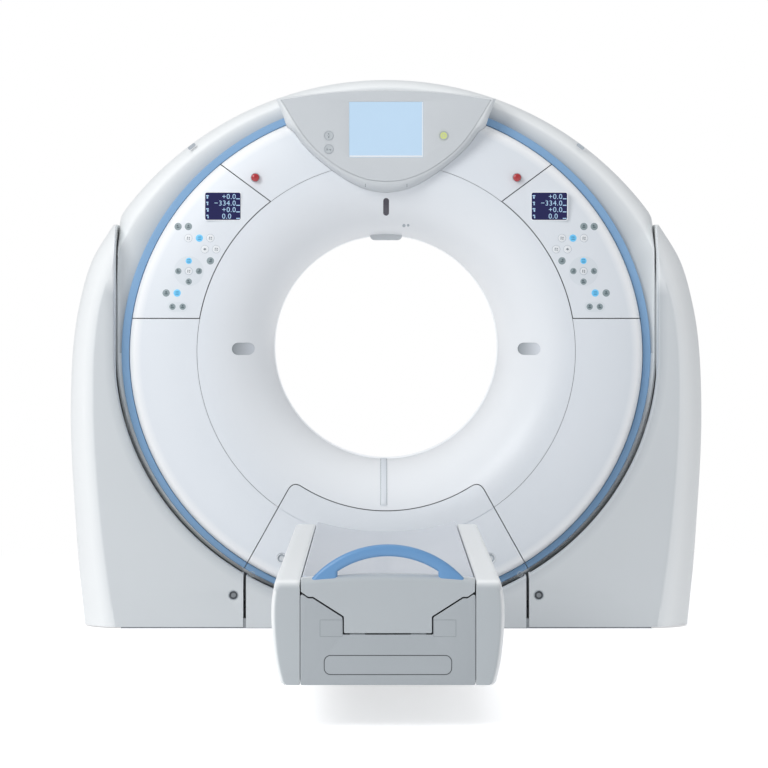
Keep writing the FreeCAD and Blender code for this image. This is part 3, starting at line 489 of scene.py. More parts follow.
def consoleOutline(side, top, shrink=0.0, sideSteps=48, topSteps=24):
    right = resample(smoothLine(side), sideSteps)[:-1] + resample(smoothLine(top), topSteps)
    line = right + mirrored(right[1:-1])
    return offset(line, -shrink) if shrink else line


def consoleCut(name, near, far):  # the room that the covers leave for the console
    return prism(name, offset(consoleOutline(console["outer"], console["top"]), console["gap"]), near, far)


def flaredPrism(name, outline, near, far, flare, steps=5):  # opens out near its face, to round a cut's edge
    rows = []
    for turn in quarter(steps):
        grown = offset(outline, flare * (1 - math.sin(turn)))
        rows.append([(x, near + flare * (1 - math.cos(turn)), z) for x, z in grown])
    first = offset(outline, flare)
    return loft(name, [[(x, near - 0.05, z) for x, z in first]] + rows + [[(x, far, z) for x, z in outline]])


def frontCovers():
    s, g = seams, gantry
    face, back = cutNear, s["back"]
    blank = frontBlank("frontBlank")
    half = s["circleGap"] / 2
    circleIn, circleOut, panelCircle = [
        prism(name, circle(g["seamRadius"] + by, 0, g["seamHeight"]), face, back)
        for name, by in (("toolA", -half), ("toolB", half), ("toolC", s["panelGap"] - half))]
    doorOpen = prism("toolD", doorOutline(s["doorGap"] / 2), face, back)
    doorIn = prism("toolE", doorOutline(-s["doorGap"] / 2), face, back)
    window = consoleCut("toolF", face, back)
    panelOpen = prism("toolG", panelOutline(s["panelGap"] / 2), face, back)
    panelIn = prism("toolH", panelOutline(-s["panelGap"] / 2), face, back)
    otherOpen = mirrorOf(panelOpen, "toolI")

    funnel = copyOf(blank, "funnelCover")
    carve(funnel, circleIn, "INTERSECT")
    carve(funnel, doorOpen, keep=True)
    carve(funnel, window, keep=True)
    outer = copyOf(blank, "outerCovers")
    carve(outer, circleOut)
    panel = copyOf(outer, "controlPanelRight")
    for tool in (panelOpen, otherOpen, doorOpen, window):
        carve(outer, tool)
    carve(panel, panelCircle)
    carve(panel, panelIn, "INTERSECT")
    door = carve(blank, doorIn, "INTERSECT")
    door.name = "serviceDoor"
    inner, wide = [g["seamRadius"] + k * s["grooveWidth"] / 2 for k in (-1, 1)]
    bottom, above = -g["frontCrown"] + s["grooveDepth"], -g["frontCrown"] - 0.015
    groove = loft("toolJ", [ovalRow(r, r, y, g["seamHeight"]) for r, y in
                            ((inner, above), (wide, above), (wide, bottom), (inner, bottom))], wrapped=True)
    carve(door, groove)
    return funnel, outer, panel, door


def roundedPrism(name, outline, near, far, r, steps=3):  # rounds the edges of its near face
    rows = [[(x, far, z) for x, z in outline]]
    for t in quarter(steps):
        rows.append([(x, near + r * (1 - math.sin(t)), z) for x, z in offset(outline, -r * (1 - math.cos(t)))])
    return loft(name, rows)


def loosePieces(piece, names):  # parts a mesh into its separate lumps, each given by a test of its middle
    form = bmesh.new()
    form.from_mesh(piece.data)
    form.verts.ensure_lookup_table()
    seen, lumps = set(), []
    for vertex in form.verts:
        if vertex in seen:
            continue
        lump, edge = {vertex}, [vertex]
        while edge:
            here = edge.pop()
            for link in here.link_edges:
                other = link.other_vert(here)
                if other not in lump:
                    lump.add(other)
                    edge.append(other)
        seen |= lump
        lumps.append(lump)
    made = {}
    for name, test in names.items():
        keep = [v for lump in lumps if test(sum((v.co for v in lump), Vector()) / len(lump)) for v in lump]
        order = {v: i for i, v in enumerate(keep)}
        faces = [[order[v] for v in f.verts] for f in form.faces if f.verts[0] in order]
        made[name] = newPiece(name, [tuple(v.co) for v in keep], faces)
    form.free()
    bpy.data.objects.remove(piece)
    return made


# laser windows, stop buttons' holes and the door's locks
details = {"laserTop": (0.020, 0.059, 0.0, 1.446), "laserSide": (0.075, 0.042, 0.492, 0.957), "windowFit": 0.0003,
           "windowDepth": 0.003, "stopPlace": (0.448, 1.544), "stopHole": 0.0083, "doorLock": (0.358, 0.239),
           "baseLock": (0.523, 0.114), "lockRadius": 0.017, "lockFit": 0.0003, "lockEdge": 0.0025}


def lockCut(name, x, z, face):
    radius = details["lockRadius"] + details["lockFit"]
    return flaredPrism(name, circle(radius, x, z, 48), face, cutFar, details["lockEdge"])


funnelCover, outerCovers, panelRight, serviceDoor = frontCovers()
spareBlank = frontBlank("spareBlank")
windows = []
for width, height, x, z in (details["laserTop"], details["laserSide"],
                            (*details["laserSide"][:2], -details["laserSide"][2], details["laserSide"][3])):
    carve(funnelCover, prism("toolK", slotShape(width, height, x, z), cutNear, -0.100))
    glass = copyOf(spareBlank, "laserWindow")
    shrink = 2 * details["windowFit"]
    carve(glass, prism("toolL", slotShape(width - shrink, height - shrink, x, z), cutNear, -0.100), "INTERSECT")
    for vertex in glass.data.vertices:
        vertex.co.y += details["windowDepth"]
    windows.append(glass)
bpy.data.objects.remove(spareBlank)
for side in (-1, 1):
    x, z = details["stopPlace"]
    carve(outerCovers, prism("toolM", circle(details["stopHole"], side * x, z, 32), cutNear, cutFar))
    x, z = details["doorLock"]
    carve(serviceDoor, lockCut("toolN", side * x, z, frontDepth(x, z)), solver="EXACT")
outer = loosePieces(outerCovers, {
    "outerCoverTop": lambda c: c.z > ringZ,
    "outerCoverLeft": lambda c: c.z <= ringZ and c.x < 0,
    "outerCoverRight": lambda c: c.z <= ringZ and c.x > 0})
panelLeft = mirrorOf(panelRight, "controlPanelLeft")


def coverPaintedHighlight(p):  # painted highlight: brighter where the cover rolls over inside the trim ring
    a, b = gantry["coverOval"]
    reach = math.hypot(p.x / a, (p.z - coverZ) / b)
    return (reach - 0.955) / 0.026


def funnelPaintedLight(p):  # painted light: the throat is lightened as if by the light that the white film and the far side give back
    return 1 - (math.hypot(p.x, p.z - axisZ) - gantry["boreRadius"]) / 0.24


frontPieces = {"funnel_cover": funnelCover, "outer_cover_top": outer["outerCoverTop"],
               "outer_cover_left": outer["outerCoverLeft"], "outer_cover_right": outer["outerCoverRight"],
               "control_panel_right": panelRight, "control_panel_left": panelLeft, "service_door": serviceDoor}
for node, piece in frontPieces.items():
    paintTone(piece, funnelPaintedLight if piece is funnelCover else coverPaintedHighlight)
    dress(piece, "drum", finishes["white"], [node])
dress(windows[0], "drum", finishes["smoked"], ["laser_windows"])
for glass in windows[1:]:
    start, width = min(v.co.x for v in glass.data.vertices), details["laserSide"][0]
    # painted shade: dark at each window's left edge, lightening to the right
    paintTone(glass, lambda p: (p.x - start) / width)
    dress(glass, "drum", finishes["paleWindow"])
print("front covers made")


# trim ring: a satin blue band with rounded corners, parted by the console and at the door's sides
trim = {"outer": (0.9115, 0.8785), "inner": (0.8845, 0.8555), "depth": 0.030, "corner": 0.0030}


def trimRing():
    (a, b), r = trim["outer"], trim["corner"]
    back, face = -gantry["drumFace"], -gantry["drumFace"] - trim["depth"]
    rows = [ovalRow(a, b, back)]
    for turn in quarter(5):
        inward = r * (1 - math.cos(turn))
        rows.append(ovalRow(a - inward, b - inward, face + r * (1 - math.sin(turn))))
    a, b = trim["inner"]
    for turn in quarter(5):
        grown = r * (1 - math.sin(turn))
        rows.append(ovalRow(a + grown, b + grown, face + r * (1 - math.cos(turn)), coverZ))
    rows.append(ovalRow(a, b, back, coverZ))
    ring = loft("trimRing", rows, wrapped=True)
    carve(ring, consoleCut("toolO", cutNear, cutFar))
    door = copyOf(ring, "trimDoorPart")
    carve(ring, prism("toolP", doorOutline(seams["doorGap"] / 2), cutNear, cutFar))
    carve(door, prism("toolQ", doorOutline(-seams["doorGap"] / 2), cutNear, cutFar), "INTERSECT")
    return ring, door


ringTop, ringDoor = trimRing()
dress(ringTop, "drum", finishes["blueTrim"], ["trim_ring"])
dress(ringDoor, "drum", finishes["blueTrim"])


# drum: the arch above and the tub below, each one shell with its open front and back
drum = {"halfWidth": 0.9265, "face": 0.250, "shoulderY": 0.165, "crest": 0.0045, "hole": (0.870, 0.837),
        "fullArch": (1.138, 1.890), "frontArch": (1.042, 1.853), "tub": (0.9265, 0.8830), "lip": 0.266,
        "lipRound": 0.007, "blend": 0.006, "trunnionHole": 0.061}


def rayToArch(turn, radius, top):  # from the ring's middle to the arch, whose sides are straight below
    across, up = math.cos(turn), math.sin(turn)
    centre = top - radius
    b = up * (ringZ - centre)
    c = (ringZ - centre) ** 2 - radius ** 2
    hit = -b + math.sqrt(b * b - c)
    if abs(across) < 1e-9:  # straight up, where no side is met
        return hit
    gap, k = drum["halfWidth"] / abs(across) - hit, drum["blend"]  # the two lines flow into each other
    return hit - k * math.log(1 + math.exp(-gap / k)) if gap > -40 * k else hit + gap


def rayToOval(turn, a, b):
    return 1 / math.hypot(math.cos(turn) / a, math.sin(turn) / b)


lipSteps = (0, 0.3, 0.7)  # shares of the way from the ring to the rounded edge


def acrossDrum(half):  # from the front edge over to the rear edge
    return [(r, -y) for r, y in half] + half[::-1]


def archSection(turn, inset):
    face, flat = drum["face"] - inset, drum["shoulderY"]
    full = rayToArch(turn, *drum["fullArch"]) - inset
    front = min(rayToArch(turn, *drum["frontArch"]) - inset, full - drum["lipRound"])
    hole, edge = rayToOval(turn, *drum["hole"]), rayToOval(turn, *trim["outer"])
    low = max(0.0, 1.0 - (full - front - drum["lipRound"]) / 0.030)  # 1 beside the stands, 0 higher up
    crest = (drum["crest"] + (drum["lip"] - drum["face"] - drum["crest"]) * low) if not inset else 0.0
    deep = (face + crest - flat) * (1 - low) + drum["lipRound"] * low
    half = [(hole, face), (edge, face)] + [(edge + 0.0004 + (front - edge) * w, face + crest) for w in lipSteps]
    for u in quarter(8):
        half.append((front + (full - front) * math.sin(u), face + crest - deep * (1 - math.cos(u))))
    return acrossDrum(half)


def tubSection(turn, inset):
    r, face, reach = drum["lipRound"], drum["face"] - inset, rayToOval(turn, *drum["tub"]) - inset
    hole, edge = rayToOval(turn, *drum["hole"]), rayToOval(turn, *trim["outer"])
    lip = drum["lip"] - drum["face"] if not inset else 0.0
    half = [(hole, face), (edge, face)] + [(edge + 0.0004 + (reach - r - edge) * w, face + lip) for w in lipSteps]
    for u in quarter(8):
        half.append((reach - r * (1 - math.sin(u)), face + lip - r * (1 - math.cos(u))))
    return acrossDrum(half)


def drumShell(name, turns, section):
    rows = []
    for turn in turns:
        loop = section(turn, 0.0) + section(turn, gantry["skin"])[::-1]
        rows.append([(r * math.cos(turn), y, ringZ + r * math.sin(turn)) for r, y in loop])
    shell = loft(name, rows)
    for side in (-1, 1):
        hole = [[(side * x, drum["trunnionHole"] * math.cos(t), axisZ + drum["trunnionHole"] * math.sin(t))
                 for t in fullTurn(48)] for x in (0.80, 1.0)]
        carve(shell, loft("toolR", hole))
    return shell


archShell = drumShell("archShell", [math.pi * i / 160 for i in range(161)], archSection)
tubShell = drumShell("lowerTub", [math.pi + math.pi * i / 96 for i in range(97)], tubSection)


def archShadeAndLight(p):  # grey paint on the band, with painted shade darkest at the ring and lighter up the front; painted light whitens the rounded lip and the shoulder over the top
    turn = math.atan2(p.z - ringZ, p.x)
    edge = rayToOval(turn, *trim["outer"])
    front = min(rayToArch(turn, *drum["frontArch"]), rayToArch(turn, *drum["fullArch"]) - drum["lipRound"])
    if abs(p.y) < drum["shoulderY"] + 0.04:
        return 1.0
    r = math.hypot(p.x, p.z - ringZ)
    if r >= front + 0.0005:
        return 0.9
    return 0.12 + 0.48 * ((r - edge) / (front - edge)) ** 1.2 if r > edge else 0.0


paintTone(archShell, archShadeAndLight)


def tubPaintedLight(p):  # painted light: near white all over against the shade of its recess, and palest on the outermost skin beyond the rounded edge as a painted highlight
    a, b = drum["tub"]
    return 1.0 if math.hypot(p.x / a, (p.z - ringZ) / b) > 1 - (drum["lipRound"] - 0.0002) / b else 0.9


paintTone(tubShell, tubPaintedLight)
dress(archShell, "drum", finishes["stand"], ["arch_shell"], 40)
dress(tubShell, "drum", finishes["stand"], ["lower_tub"], 40)

# gap seal: a rubber lip round the drum, just below its edge, that closes the gap the drum tilts in
seal = {"near": 0.2592, "far": 0.2500, "rise": 0.0042, "sink": 0.003, "climb": 0.40}


def gapSeal(name, sign):
    climb, rows = seal["climb"], []
    turns = [climb * (1 - i / 12) for i in range(12)] + [-math.pi * i / 96 for i in range(97)]
    turns += [-math.pi - climb * i / 12 for i in range(1, 13)]
    for i, turn in enumerate(turns):
        above = math.sin(turn) > 1e-6
        reach = rayToArch(turn, *drum["frontArch"]) if above else rayToOval(turn, *drum["tub"])
        end = min(i, len(turns) - 1 - i) / 5  # its ends run down into the drum
        rise = (seal["rise"] + seal["sink"] / 2) * min(1.0, end) - seal["sink"] / 2
        section = [(reach - seal["sink"], seal["near"]), (reach + rise, seal["near"]),
                   (reach + rise, seal["far"]), (reach - seal["sink"], seal["far"])]
        rows.append([(r * math.cos(turn), sign * y, ringZ + r * math.sin(turn)) for r, y in section])
    return loft(name, rows)


for name, sign in (("gapSealFront", -1), ("gapSealRear", 1)):
    dress(gapSeal(name, sign), "drum", finishes["rubber"])
print("drum made")


# stands: outlines of the face and of the full width, from the foot up to the tip
stand = {
    "face": [(0.9210, 0.005), (0.9560, 0.240), (0.9780, 0.440), (0.9925, 0.640), (0.9970, 0.800), (0.9935, 0.955),
             (0.9735, 1.110), (0.9300, 1.240), (0.8980, 1.335)],
    "side": [(1.0420, 0.005), (1.0620, 0.200), (1.0760, 0.390), (1.0885, 0.600), (1.0910, 0.775), (1.0830, 0.960),
             (1.0610, 1.110), (1.0180, 1.260), (0.9450, 1.382)],
    "front": 0.345, "rear": 0.480, "bevel": 0.120, "start": 0.490, "inner": 0.9320, "oval": (0.9320, 0.8890),
    "skirt": 0.262, "flange": 0.045, "low": 0.0025, "edge": 0.0075, "border": (0.034, 0.0008), "handle": 0.42,
}


def bevelSteps():  # shares of the way out and of the way back, along one smooth curve
    h = stand["handle"]
    return [(3 * (1 - t) ** 2 * t * h + 3 * (1 - t) * t * t + t ** 3, 3 * (1 - t) * t * t * (1 - h) + t ** 3)
            for t in (0.0, 0.03, 0.09, 0.2, 0.32, 0.44, 0.56, 0.67, 0.78, 0.89, 1.0)]


def standOutline(share, start, inset=0.0, low=None):
    face, side = smoothLine(stand["face"], 7), smoothLine(stand["side"], 7)
    line = [(a + (c - a) * share - inset, b + (d - b) * share) for (a, b), (c, d) in zip(face, side)]
    tip = line[-1]
    top = tip[1] + 0.004 - 2 * inset
    line = [(x, min(z, top - 0.002)) for x, z in line]
    step = min(stand["inner"] + 0.0015, tip[0] - 0.006) - inset
    crown = [(tip[0] - 0.0035, top - 0.0005), (step, top), (start, top)]
    if low is not None:
        line = [(line[0][0], low)] + line[1:]
    return [(start, line[0][1])] + line + crown


def standBlock(name, front, start, inset=0.0, low=None):
    sign = -1 if front < 0 else 1
    rows = []
    for share, deep in bevelSteps():
        y = front - sign * inset - sign * stand["bevel"] * deep * (1 - inset / stand["bevel"])
        rows.append([(x, y, z) for x, z in standOutline(share, start, inset, low)])
    rows.append([(x, -sign * 0.001 if inset else 0.0, z) for x, z in standOutline(1.0, start, inset, low)])
    return loft(name, rows)


def drumZone(grow=0.0, top=2.2):  # the stands' opening: half an oval with straight sides above it
    a, b = stand["oval"]
    turns = [math.pi + math.pi * i / 120 for i in range(121)]
    line = [((a + grow) * math.cos(t), ringZ + (b + grow) * math.sin(t)) for t in turns]
    rise = [1.02 + 0.06 * i for i in range(7)] if top > 2 else []  # the straight sides' points carry the painted shade and light
    sides = [(a + grow, z) for z in rise] + [(a + grow, top)]
    return line + sides + mirrored(sides)


def flaredZone(name, near, far, flare, steps=6):
    wide, dish = stand["border"]
    rows = [[(x, y, z) for x, z in drumZone(wide)] for y in (near - 0.05, near + 0.0001)]
    for turn in quarter(steps):
        rows.append([(x, near + dish + flare * (1 - math.cos(turn)), z)
                     for x, z in drumZone(flare * (1 - math.sin(turn)))])
    rows.append([(x, far, z) for x, z in drumZone()])
    return loft(name, rows)


def flangeRing(name, near, far):
    ring = prism(name, drumZone(gantry["skin"], ringZ), near, far)
    return carve(ring, prism("toolS", drumZone(), near - 0.01, far + 0.01))


# room for the steel base: half width, height, near and far, for its feet and for its plate
steelBase = {"feet": (0.936, 0.011, -0.339, 0.361), "plate": (0.909, 0.035, -0.340, 0.340)}


def baseRoom(name):  # the covers leave it free
    rooms = [prism(title, box(-half, half, -0.01, top), near, far)
             for title, (half, top, near, far) in ((name, steelBase["feet"]), ("toolT", steelBase["plate"]))]
    return carve(*rooms, "UNION")


def frontStand():
    front, skin, start = -stand["front"], gantry["skin"], stand["start"]
    shell = standBlock("standFrontRight", front, start)
    solid = copyOf(shell, "toolU")
    carve(shell, standBlock("toolV", front, start + skin, skin, -0.02))
    wall = copyOf(solid, "toolW")
    carve(wall, prism("toolX", box(stand["inner"], stand["inner"] + skin, 0, 1.5), front, 0.0), "INTERSECT")
    flange = carve(solid, flangeRing("toolY", front, front + stand["flange"]), "INTERSECT")
    carve(shell, wall, "UNION")
    carve(shell, flange, "UNION")
    carve(shell, flaredZone("toolZ", front, 0.01, stand["edge"]))
    carve(shell, prism("toolAa", box(0.0, stand["inner"], -1.0, 1.5), -stand["skirt"], 0.01))
    carve(shell, baseRoom("toolAb"))
    return carve(shell, lockCut("toolAc", *details["baseLock"], front))


def rearStand():
    rear, skin = stand["rear"], gantry["skin"]
    shell = standBlock("standRearRight", rear, 0.485)
    carve(shell, prism("toolAd", box(stand["inner"], 2.0, stand["low"], 2.0), -0.01, rear + 0.01), "INTERSECT")
    room = standBlock("toolAe", rear, 0.485, skin, -0.02)
    carve(room, prism("toolAf", box(stand["inner"] + skin, 2.0, -0.1, 2.0), -0.02, rear + 0.01), "INTERSECT")
    carve(shell, room)
    carve(shell, baseRoom("toolAg"))
    return shell


def skirtCover(name, half, face, inner):
    sign, skin, low = (-1 if face < 0 else 1), gantry["skin"], stand["low"]
    near, far = sorted((face, inner))
    body = prism(name, roundBox(-half, half, low, 0.862, 0.002, 2), near, far)
    solid = copyOf(body, "toolAh")
    room = box(-half + skin, half - skin, -0.05, ringZ)
    carve(body, prism("toolAi", room, *sorted((face - sign * skin, inner - sign * 0.001))))
    ring = flangeRing("toolAj", *sorted((face, face - sign * stand["flange"])))
    carve(body, carve(solid, ring, "INTERSECT"), "UNION")
    if face < 0:
        carve(body, flaredZone("toolAk", face, far + 0.01, stand["edge"]))
    else:
        carve(body, prism("toolAl", drumZone(), near - 0.01, far + 0.01))
    carve(body, baseRoom("toolAm"))
    return body


def standShadeAndLight(p):  # grey paint on the flat face, with painted shade beside the gap, and painted light on the gap's inner wall and across the bevel
    if p.y > -0.05:
        return 0.75
    a, b = stand["oval"]
    beside = abs(p.x) - a if p.z > ringZ else (math.hypot(p.x / a, (p.z - ringZ) / b) - 1) * a
    depth = p.y + stand["front"]
    if beside < stand["edge"] + 0.001 and p.z < 1.20:
        return 0.15 if depth < 0.012 else 0.9
    if depth < 0.0003 or abs(beside - stand["border"][0]) < 0.001 and p.z < 1.10:
        return 0.36
    return min(1.0, 0.65 + 0.35 * depth / 0.012)


standRight = frontStand()
standLeft = mirrorOf(standRight, "standFrontLeft")
rearRight = rearStand()
rearLeft = mirrorOf(rearRight, "standRearLeft")
baseCover = skirtCover("baseFrontCover", 0.480, -stand["front"], -stand["skirt"])
rearSkirt = skirtCover("rearSkirt", 0.928, stand["front"], stand["skirt"])
standPieces = {
    "stand_front_cover_right": (standRight, standShadeAndLight), "stand_front_cover_left": (standLeft, standShadeAndLight),
    "stand_rear_cover_right": (rearRight, lambda p: 0.75), "stand_rear_cover_left": (rearLeft, lambda p: 0.75),
    "base_front_cover": (baseCover, standShadeAndLight), "rear_skirt": (rearSkirt, lambda p: 0.6),
}
for node, (piece, paintedLightTone) in standPieces.items():
    paintTone(piece, paintedLightTone)
    dress(piece, "base", finishes["stand"], [node])
print("stands made")


# quarter-turn locks: a dark recess, a pale rim and a plated plug with its key slot
lock = {"rim": 0.0028, "plug": 0.0085, "recess": 0.0045, "slot": (0.0026, 0.0115)}


def lockSet(name, place, face, body, nodeName, looks):
    r, plug, bottom = details["lockRadius"], lock["plug"], face + lock["recess"]
    inner, top, deep = r - lock["rim"], bottom - 0.0030, face + 0.010
    rims, cups, plugs, spots = [], [], [], [(side * place[0], place[1]) for side in (-1, 1)]
    for x, z in spots:
        rims.append(turned([(r, deep), (r, face + 0.0004), (r - 0.0006, face - 0.0006),
                            (inner + 0.0006, face - 0.0006), (inner, face + 0.0004), (inner, deep)], x, z))
        cups.append(turned([(inner, deep), (inner, bottom - 0.0005), (inner - 0.0005, bottom),
                            (0.0005, bottom)], x, z))
        plugs.append(turned([(plug, face + 0.009), (plug, top + 0.0006), (plug - 0.0006, top),
                             (0.0004, top)], x, z, 36))
    recess, plugs = together(name + "Recess", cups), together(name, plugs)
    for x, z in spots:
        carve(plugs, prism("toolAn", slotShape(*lock["slot"], x, z, 4), face - 0.01, face + 0.0042))
    dress(plugs, body, finishes[looks[0]], [nodeName])
    dress(recess, body, finishes[looks[1]])
    dress(together(name + "Rims", rims), body, finishes[looks[2]])


lockSet("doorLocks", details["doorLock"], frontDepth(*details["doorLock"]) + 0.0006, "drum", "door_locks",
        ("zincPale", "greyTrim", "keyWhite"))
lockSet("baseLocks", details["baseLock"], -stand["front"] + 0.0006, "base", "base_cover_locks",
        ("lockMetal", "darkPocket", "greyTrim"))

# rear cover: a funnel and a sloped rim, one moulding
rear = {"horn": 0.545, "crown": 0.330, "oval": (0.905, 0.872), "flat": (0.835, 0.802), "rim": 0.270}


def rearCover():
    g, span, depth = gantry, rear["horn"] - gantry["boreRadius"], rear["crown"] - gantry["windowHalf"]
    (a0, b0), (a1, b1) = rear["flat"], rear["oval"]

    def layer(inset):
        rows, crown = [], rear["crown"] - inset
        for t in [math.radians(6 * i) for i in range(16)]:
            r = rear["horn"] - (span - inset) * math.cos(t)
            rows.append(ovalRow(r, r, g["windowHalf"] + (depth - inset) * math.sin(t), axisZ))
        for w in [i / 6 for i in range(7)]:
            ease = w * w * (3 - 2 * w)
            rows.append(ovalRow(a0 + (a1 - a0 - inset) * w, b0 + (b1 - b0 - inset) * w,
                                crown - (rear["crown"] - rear["rim"]) * (0.45 * w + 0.55 * ease)))
        rows.append(ovalRow(a1 - inset, b1 - inset, g["drumFace"]))
        return rows
    return loft("rearCover", layer(0.0) + layer(g["skin"])[::-1], wrapped=True)


dress(rearCover(), "drum", finishes["white"], ["rear_cover"])

# scan window, indicator and strip in the funnel
bore = {"window": (0.393, 0.397), "tabHalf": 0.056, "tabLow": 1.3350, "tabY": (-0.092, -0.056),
        "stripX": (-0.018, 0.002), "stripLow": 0.418, "stripRise": 0.003}


def scanWindow():
    inner, outer = bore["window"]
    half, r = gantry["windowHalf"], 0.0006
    loop = [(inner + r, -half), (inner, -half + r), (inner, half - r), (inner + r, half),
            (outer, half), (outer, -half)]
    return loft("scanWindow", [ovalRow(a, a, y, axisZ) for a, y in loop], wrapped=True)


def boreIndicator():
    half, low = bore["tabHalf"], bore["tabLow"]
    outline = roundCorners(box(-half, half, low, 1.395), [0.016, 0.016, 0.004, 0.004])
    body = roundedPrism("boreIndicator", outline, *bore["tabY"], 0.004, 4)
    return carve(body, loft("toolAo", hornRows()), "INTERSECT")


def hornSpot(t, x, proud):  # a point at the foot of the funnel, raised along the surface's normal
    r, y = hornPlace(t)
    ny, nr = math.sin(t) / hornDepth, math.cos(t) / hornSpan
    size = math.hypot(ny, nr)
    r, y = r - proud * nr / size, y - proud * ny / size
    return x, y, axisZ - math.sqrt(r * r - x * x)


stripTurn = math.acos((gantry["hornRadius"] - (axisZ - bore["stripLow"])) / hornSpan)  # where the strip ends


def funnelStrip():
    (x0, x1), rise, r = bore["stripX"], bore["stripRise"], 0.0012
    section = [(x0, 0.0), (x0, rise - r), (x0 + r * 0.4, rise - r * 0.3), (x0 + r, rise), (x1 - r, rise),
               (x1 - r * 0.4, rise - r * 0.3), (x1, rise - r), (x1, 0.0)]
    rows = []
    for i in range(41):
        flat = min(1.0, min(i, 40 - i) / 1.5)  # its ends run down to the funnel
        rows.append([hornSpot(stripTurn * i / 40, x, p * (0.15 + 0.85 * flat)) for x, p in section])
    return loft("funnelStrip", rows)


def stripEdges():  # the thin shadow lines along the strip
    (x0, x1), parts = bore["stripX"], []
    for a, b in ((x0 - 0.0013, x0), (x1, x1 + 0.0013)):
        section = [(a, -0.0002), (a, 0.0007), (b, 0.0007), (b, -0.0002)]
        turns = [stripTurn * (0.01 + 0.98 * i / 40) for i in range(41)]
        parts.append(loftParts([[hornSpot(t, x, p) for x, p in section] for t in turns]))
    return together("stripEdges", parts)


def stripTab():
    (x0, x1), foot = bore["stripX"], bore["stripRise"] * 0.9
    rows = []
    for i in range(9):
        t = stripTurn * (0.925 + 0.062 * i / 8)
        top = bore["stripRise"] + 0.0012 * math.sin(math.pi * (0.12 + 0.76 * i / 8))
        section = [(x0 + 0.004, foot), (x0 + 0.0048, top), (x1 - 0.0048, top), (x1 - 0.004, foot)]
        rows.append([hornSpot(t, x, p) for x, p in section])
    return loft("stripTab", rows)


dress(scanWindow(), "drum", finishes["film"], ["scan_window"])
dress(boreIndicator(), "drum", finishes["console"], ["bore_indicator"])
dress(funnelStrip(), "drum", finishes["white"], ["funnel_strip"])
dress(stripEdges(), "drum", finishes["print"])
dress(stripTab(), "drum", finishes["white"])
print("bore made")


def bandParts(outline, width, rise, depthAt=frontDepth):  # a thin raised line that follows an outline
    inner = offset(outline, -width)
    count = len(outline)
    points = []
    for line, lift in ((outline, -0.0005), (outline, rise), (inner, rise), (inner, -0.0005)):
        points += [(x, depthAt(x, z) - lift, z) for x, z in line]
    faces = []
    for k in range(4):
        a, b = k * count, (k + 1) % 4 * count
        faces += ringFaces(a, b, count)
    return points, faces


def fieldParts(outline, rise, depthAt=frontDepth):  # a thin raised field with one flat outline
    count = len(outline)
    cx, cz = sum(p[0] for p in outline) / count, sum(p[1] for p in outline) / count
    rings = [1.0, 0.75, 0.5, 0.25]
    points = [(x, depthAt(x, z) + 0.0005, z) for x, z in outline]
    for share in rings:
        for x, z in outline:
            px, pz = cx + (x - cx) * share, cz + (z - cz) * share
            points.append((px, depthAt(px, pz) - rise, pz))
    faces = [tuple(range(count))]
    for j in range(len(rings)):
        a, b = j * count, (j + 1) * count
        faces += ringFaces(b, a, count)
    last = len(rings) * count
    faces.append(tuple(range(last, last + count)))
    return points, faces


# console: housing with a rounded bezel, face plate, screen and three keys
def consoleHousing():
    c = console
    out, inn = consoleOutline(c["outer"], c["top"]), consoleOutline(c["inner"], c["innerTop"])
    rows = [[(x, -c["back"], z) for x, z in out], [(x, -c["shoulder"] + 0.004, z) for x, z in out]]
    for u in quarter(8)[1:]:
        share = 1 - math.cos(u)
        y = -(c["shoulder"] - 0.004 + (c["front"] - c["shoulder"] + 0.004) * math.sin(u))
        rows.append([(ax + (bx - ax) * share * 0.93, y, az + (bz - az) * share * 0.93)
                     for (ax, az), (bx, bz) in zip(out, inn)])
    rows.append([(x, -c["front"], z) for x, z in inn])
    rows.append([(x, -c["front"] + c["pocket"], z) for x, z in inn])
    rows.append([(x, -c["front"] + c["pocket"], z) for x, z in offset(inn, -0.012)])
    body = loft("consoleHousing", rows)
    carve(body, prism("toolAp", offset(out, -c["wall"]), -c["shoulder"], -0.2))
    return body


keys = {"start_key": (0.196, 1.686), "patient_key": (-0.196, 1.686), "couch_key": (-0.196, 1.640),
        "radius": 0.0157, "gap": 0.0004, "proud": 0.0023, "ring": 0.0030}
screen = {"half": (0.126, 0.0945), "height": 1.7065, "corner": 0.002, "fit": 0.0003}


def screenOutline(grow=0.0):  # the screen's edge, and its cut in the face plate
    (w, h), z = screen["half"], screen["height"]
    return roundBox(-w - grow, w + grow, z - h - grow, z + h + grow, screen["corner"])


def consoleFace():
    c = console
    inn = consoleOutline(c["inner"], [(x, z + c["fit"]) for x, z in c["innerTop"]], c["fit"])
    near, far = -c["front"], -c["front"] + c["pocket"]
    plate = loft("consoleFace", [[(x, near, z) for x, z in offset(inn, -0.0006)],
                                 [(x, near + 0.0006, z) for x, z in inn], [(x, far, z) for x, z in inn]])
    carve(plate, flaredPrism("toolAq", screenOutline(screen["fit"]), near, far + 0.001, 0.0012, 3))
    for name in ("start_key", "patient_key", "couch_key"):
        x, z = keys[name]
        carve(plate, prism("toolAr", circle(keys["radius"] + keys["gap"], x, z, 48), near - 0.01, far + 0.01))
    return plate


def consoleScreen():
    near, far = -console["front"] + 0.0005, -console["front"] + console["pocket"]
    outline = screenOutline()
    return loft("consoleScreen", [[(x, near, z) for x, z in offset(outline, -0.0005)],
                                  [(x, near + 0.0005, z) for x, z in outline], [(x, far, z) for x, z in outline]])


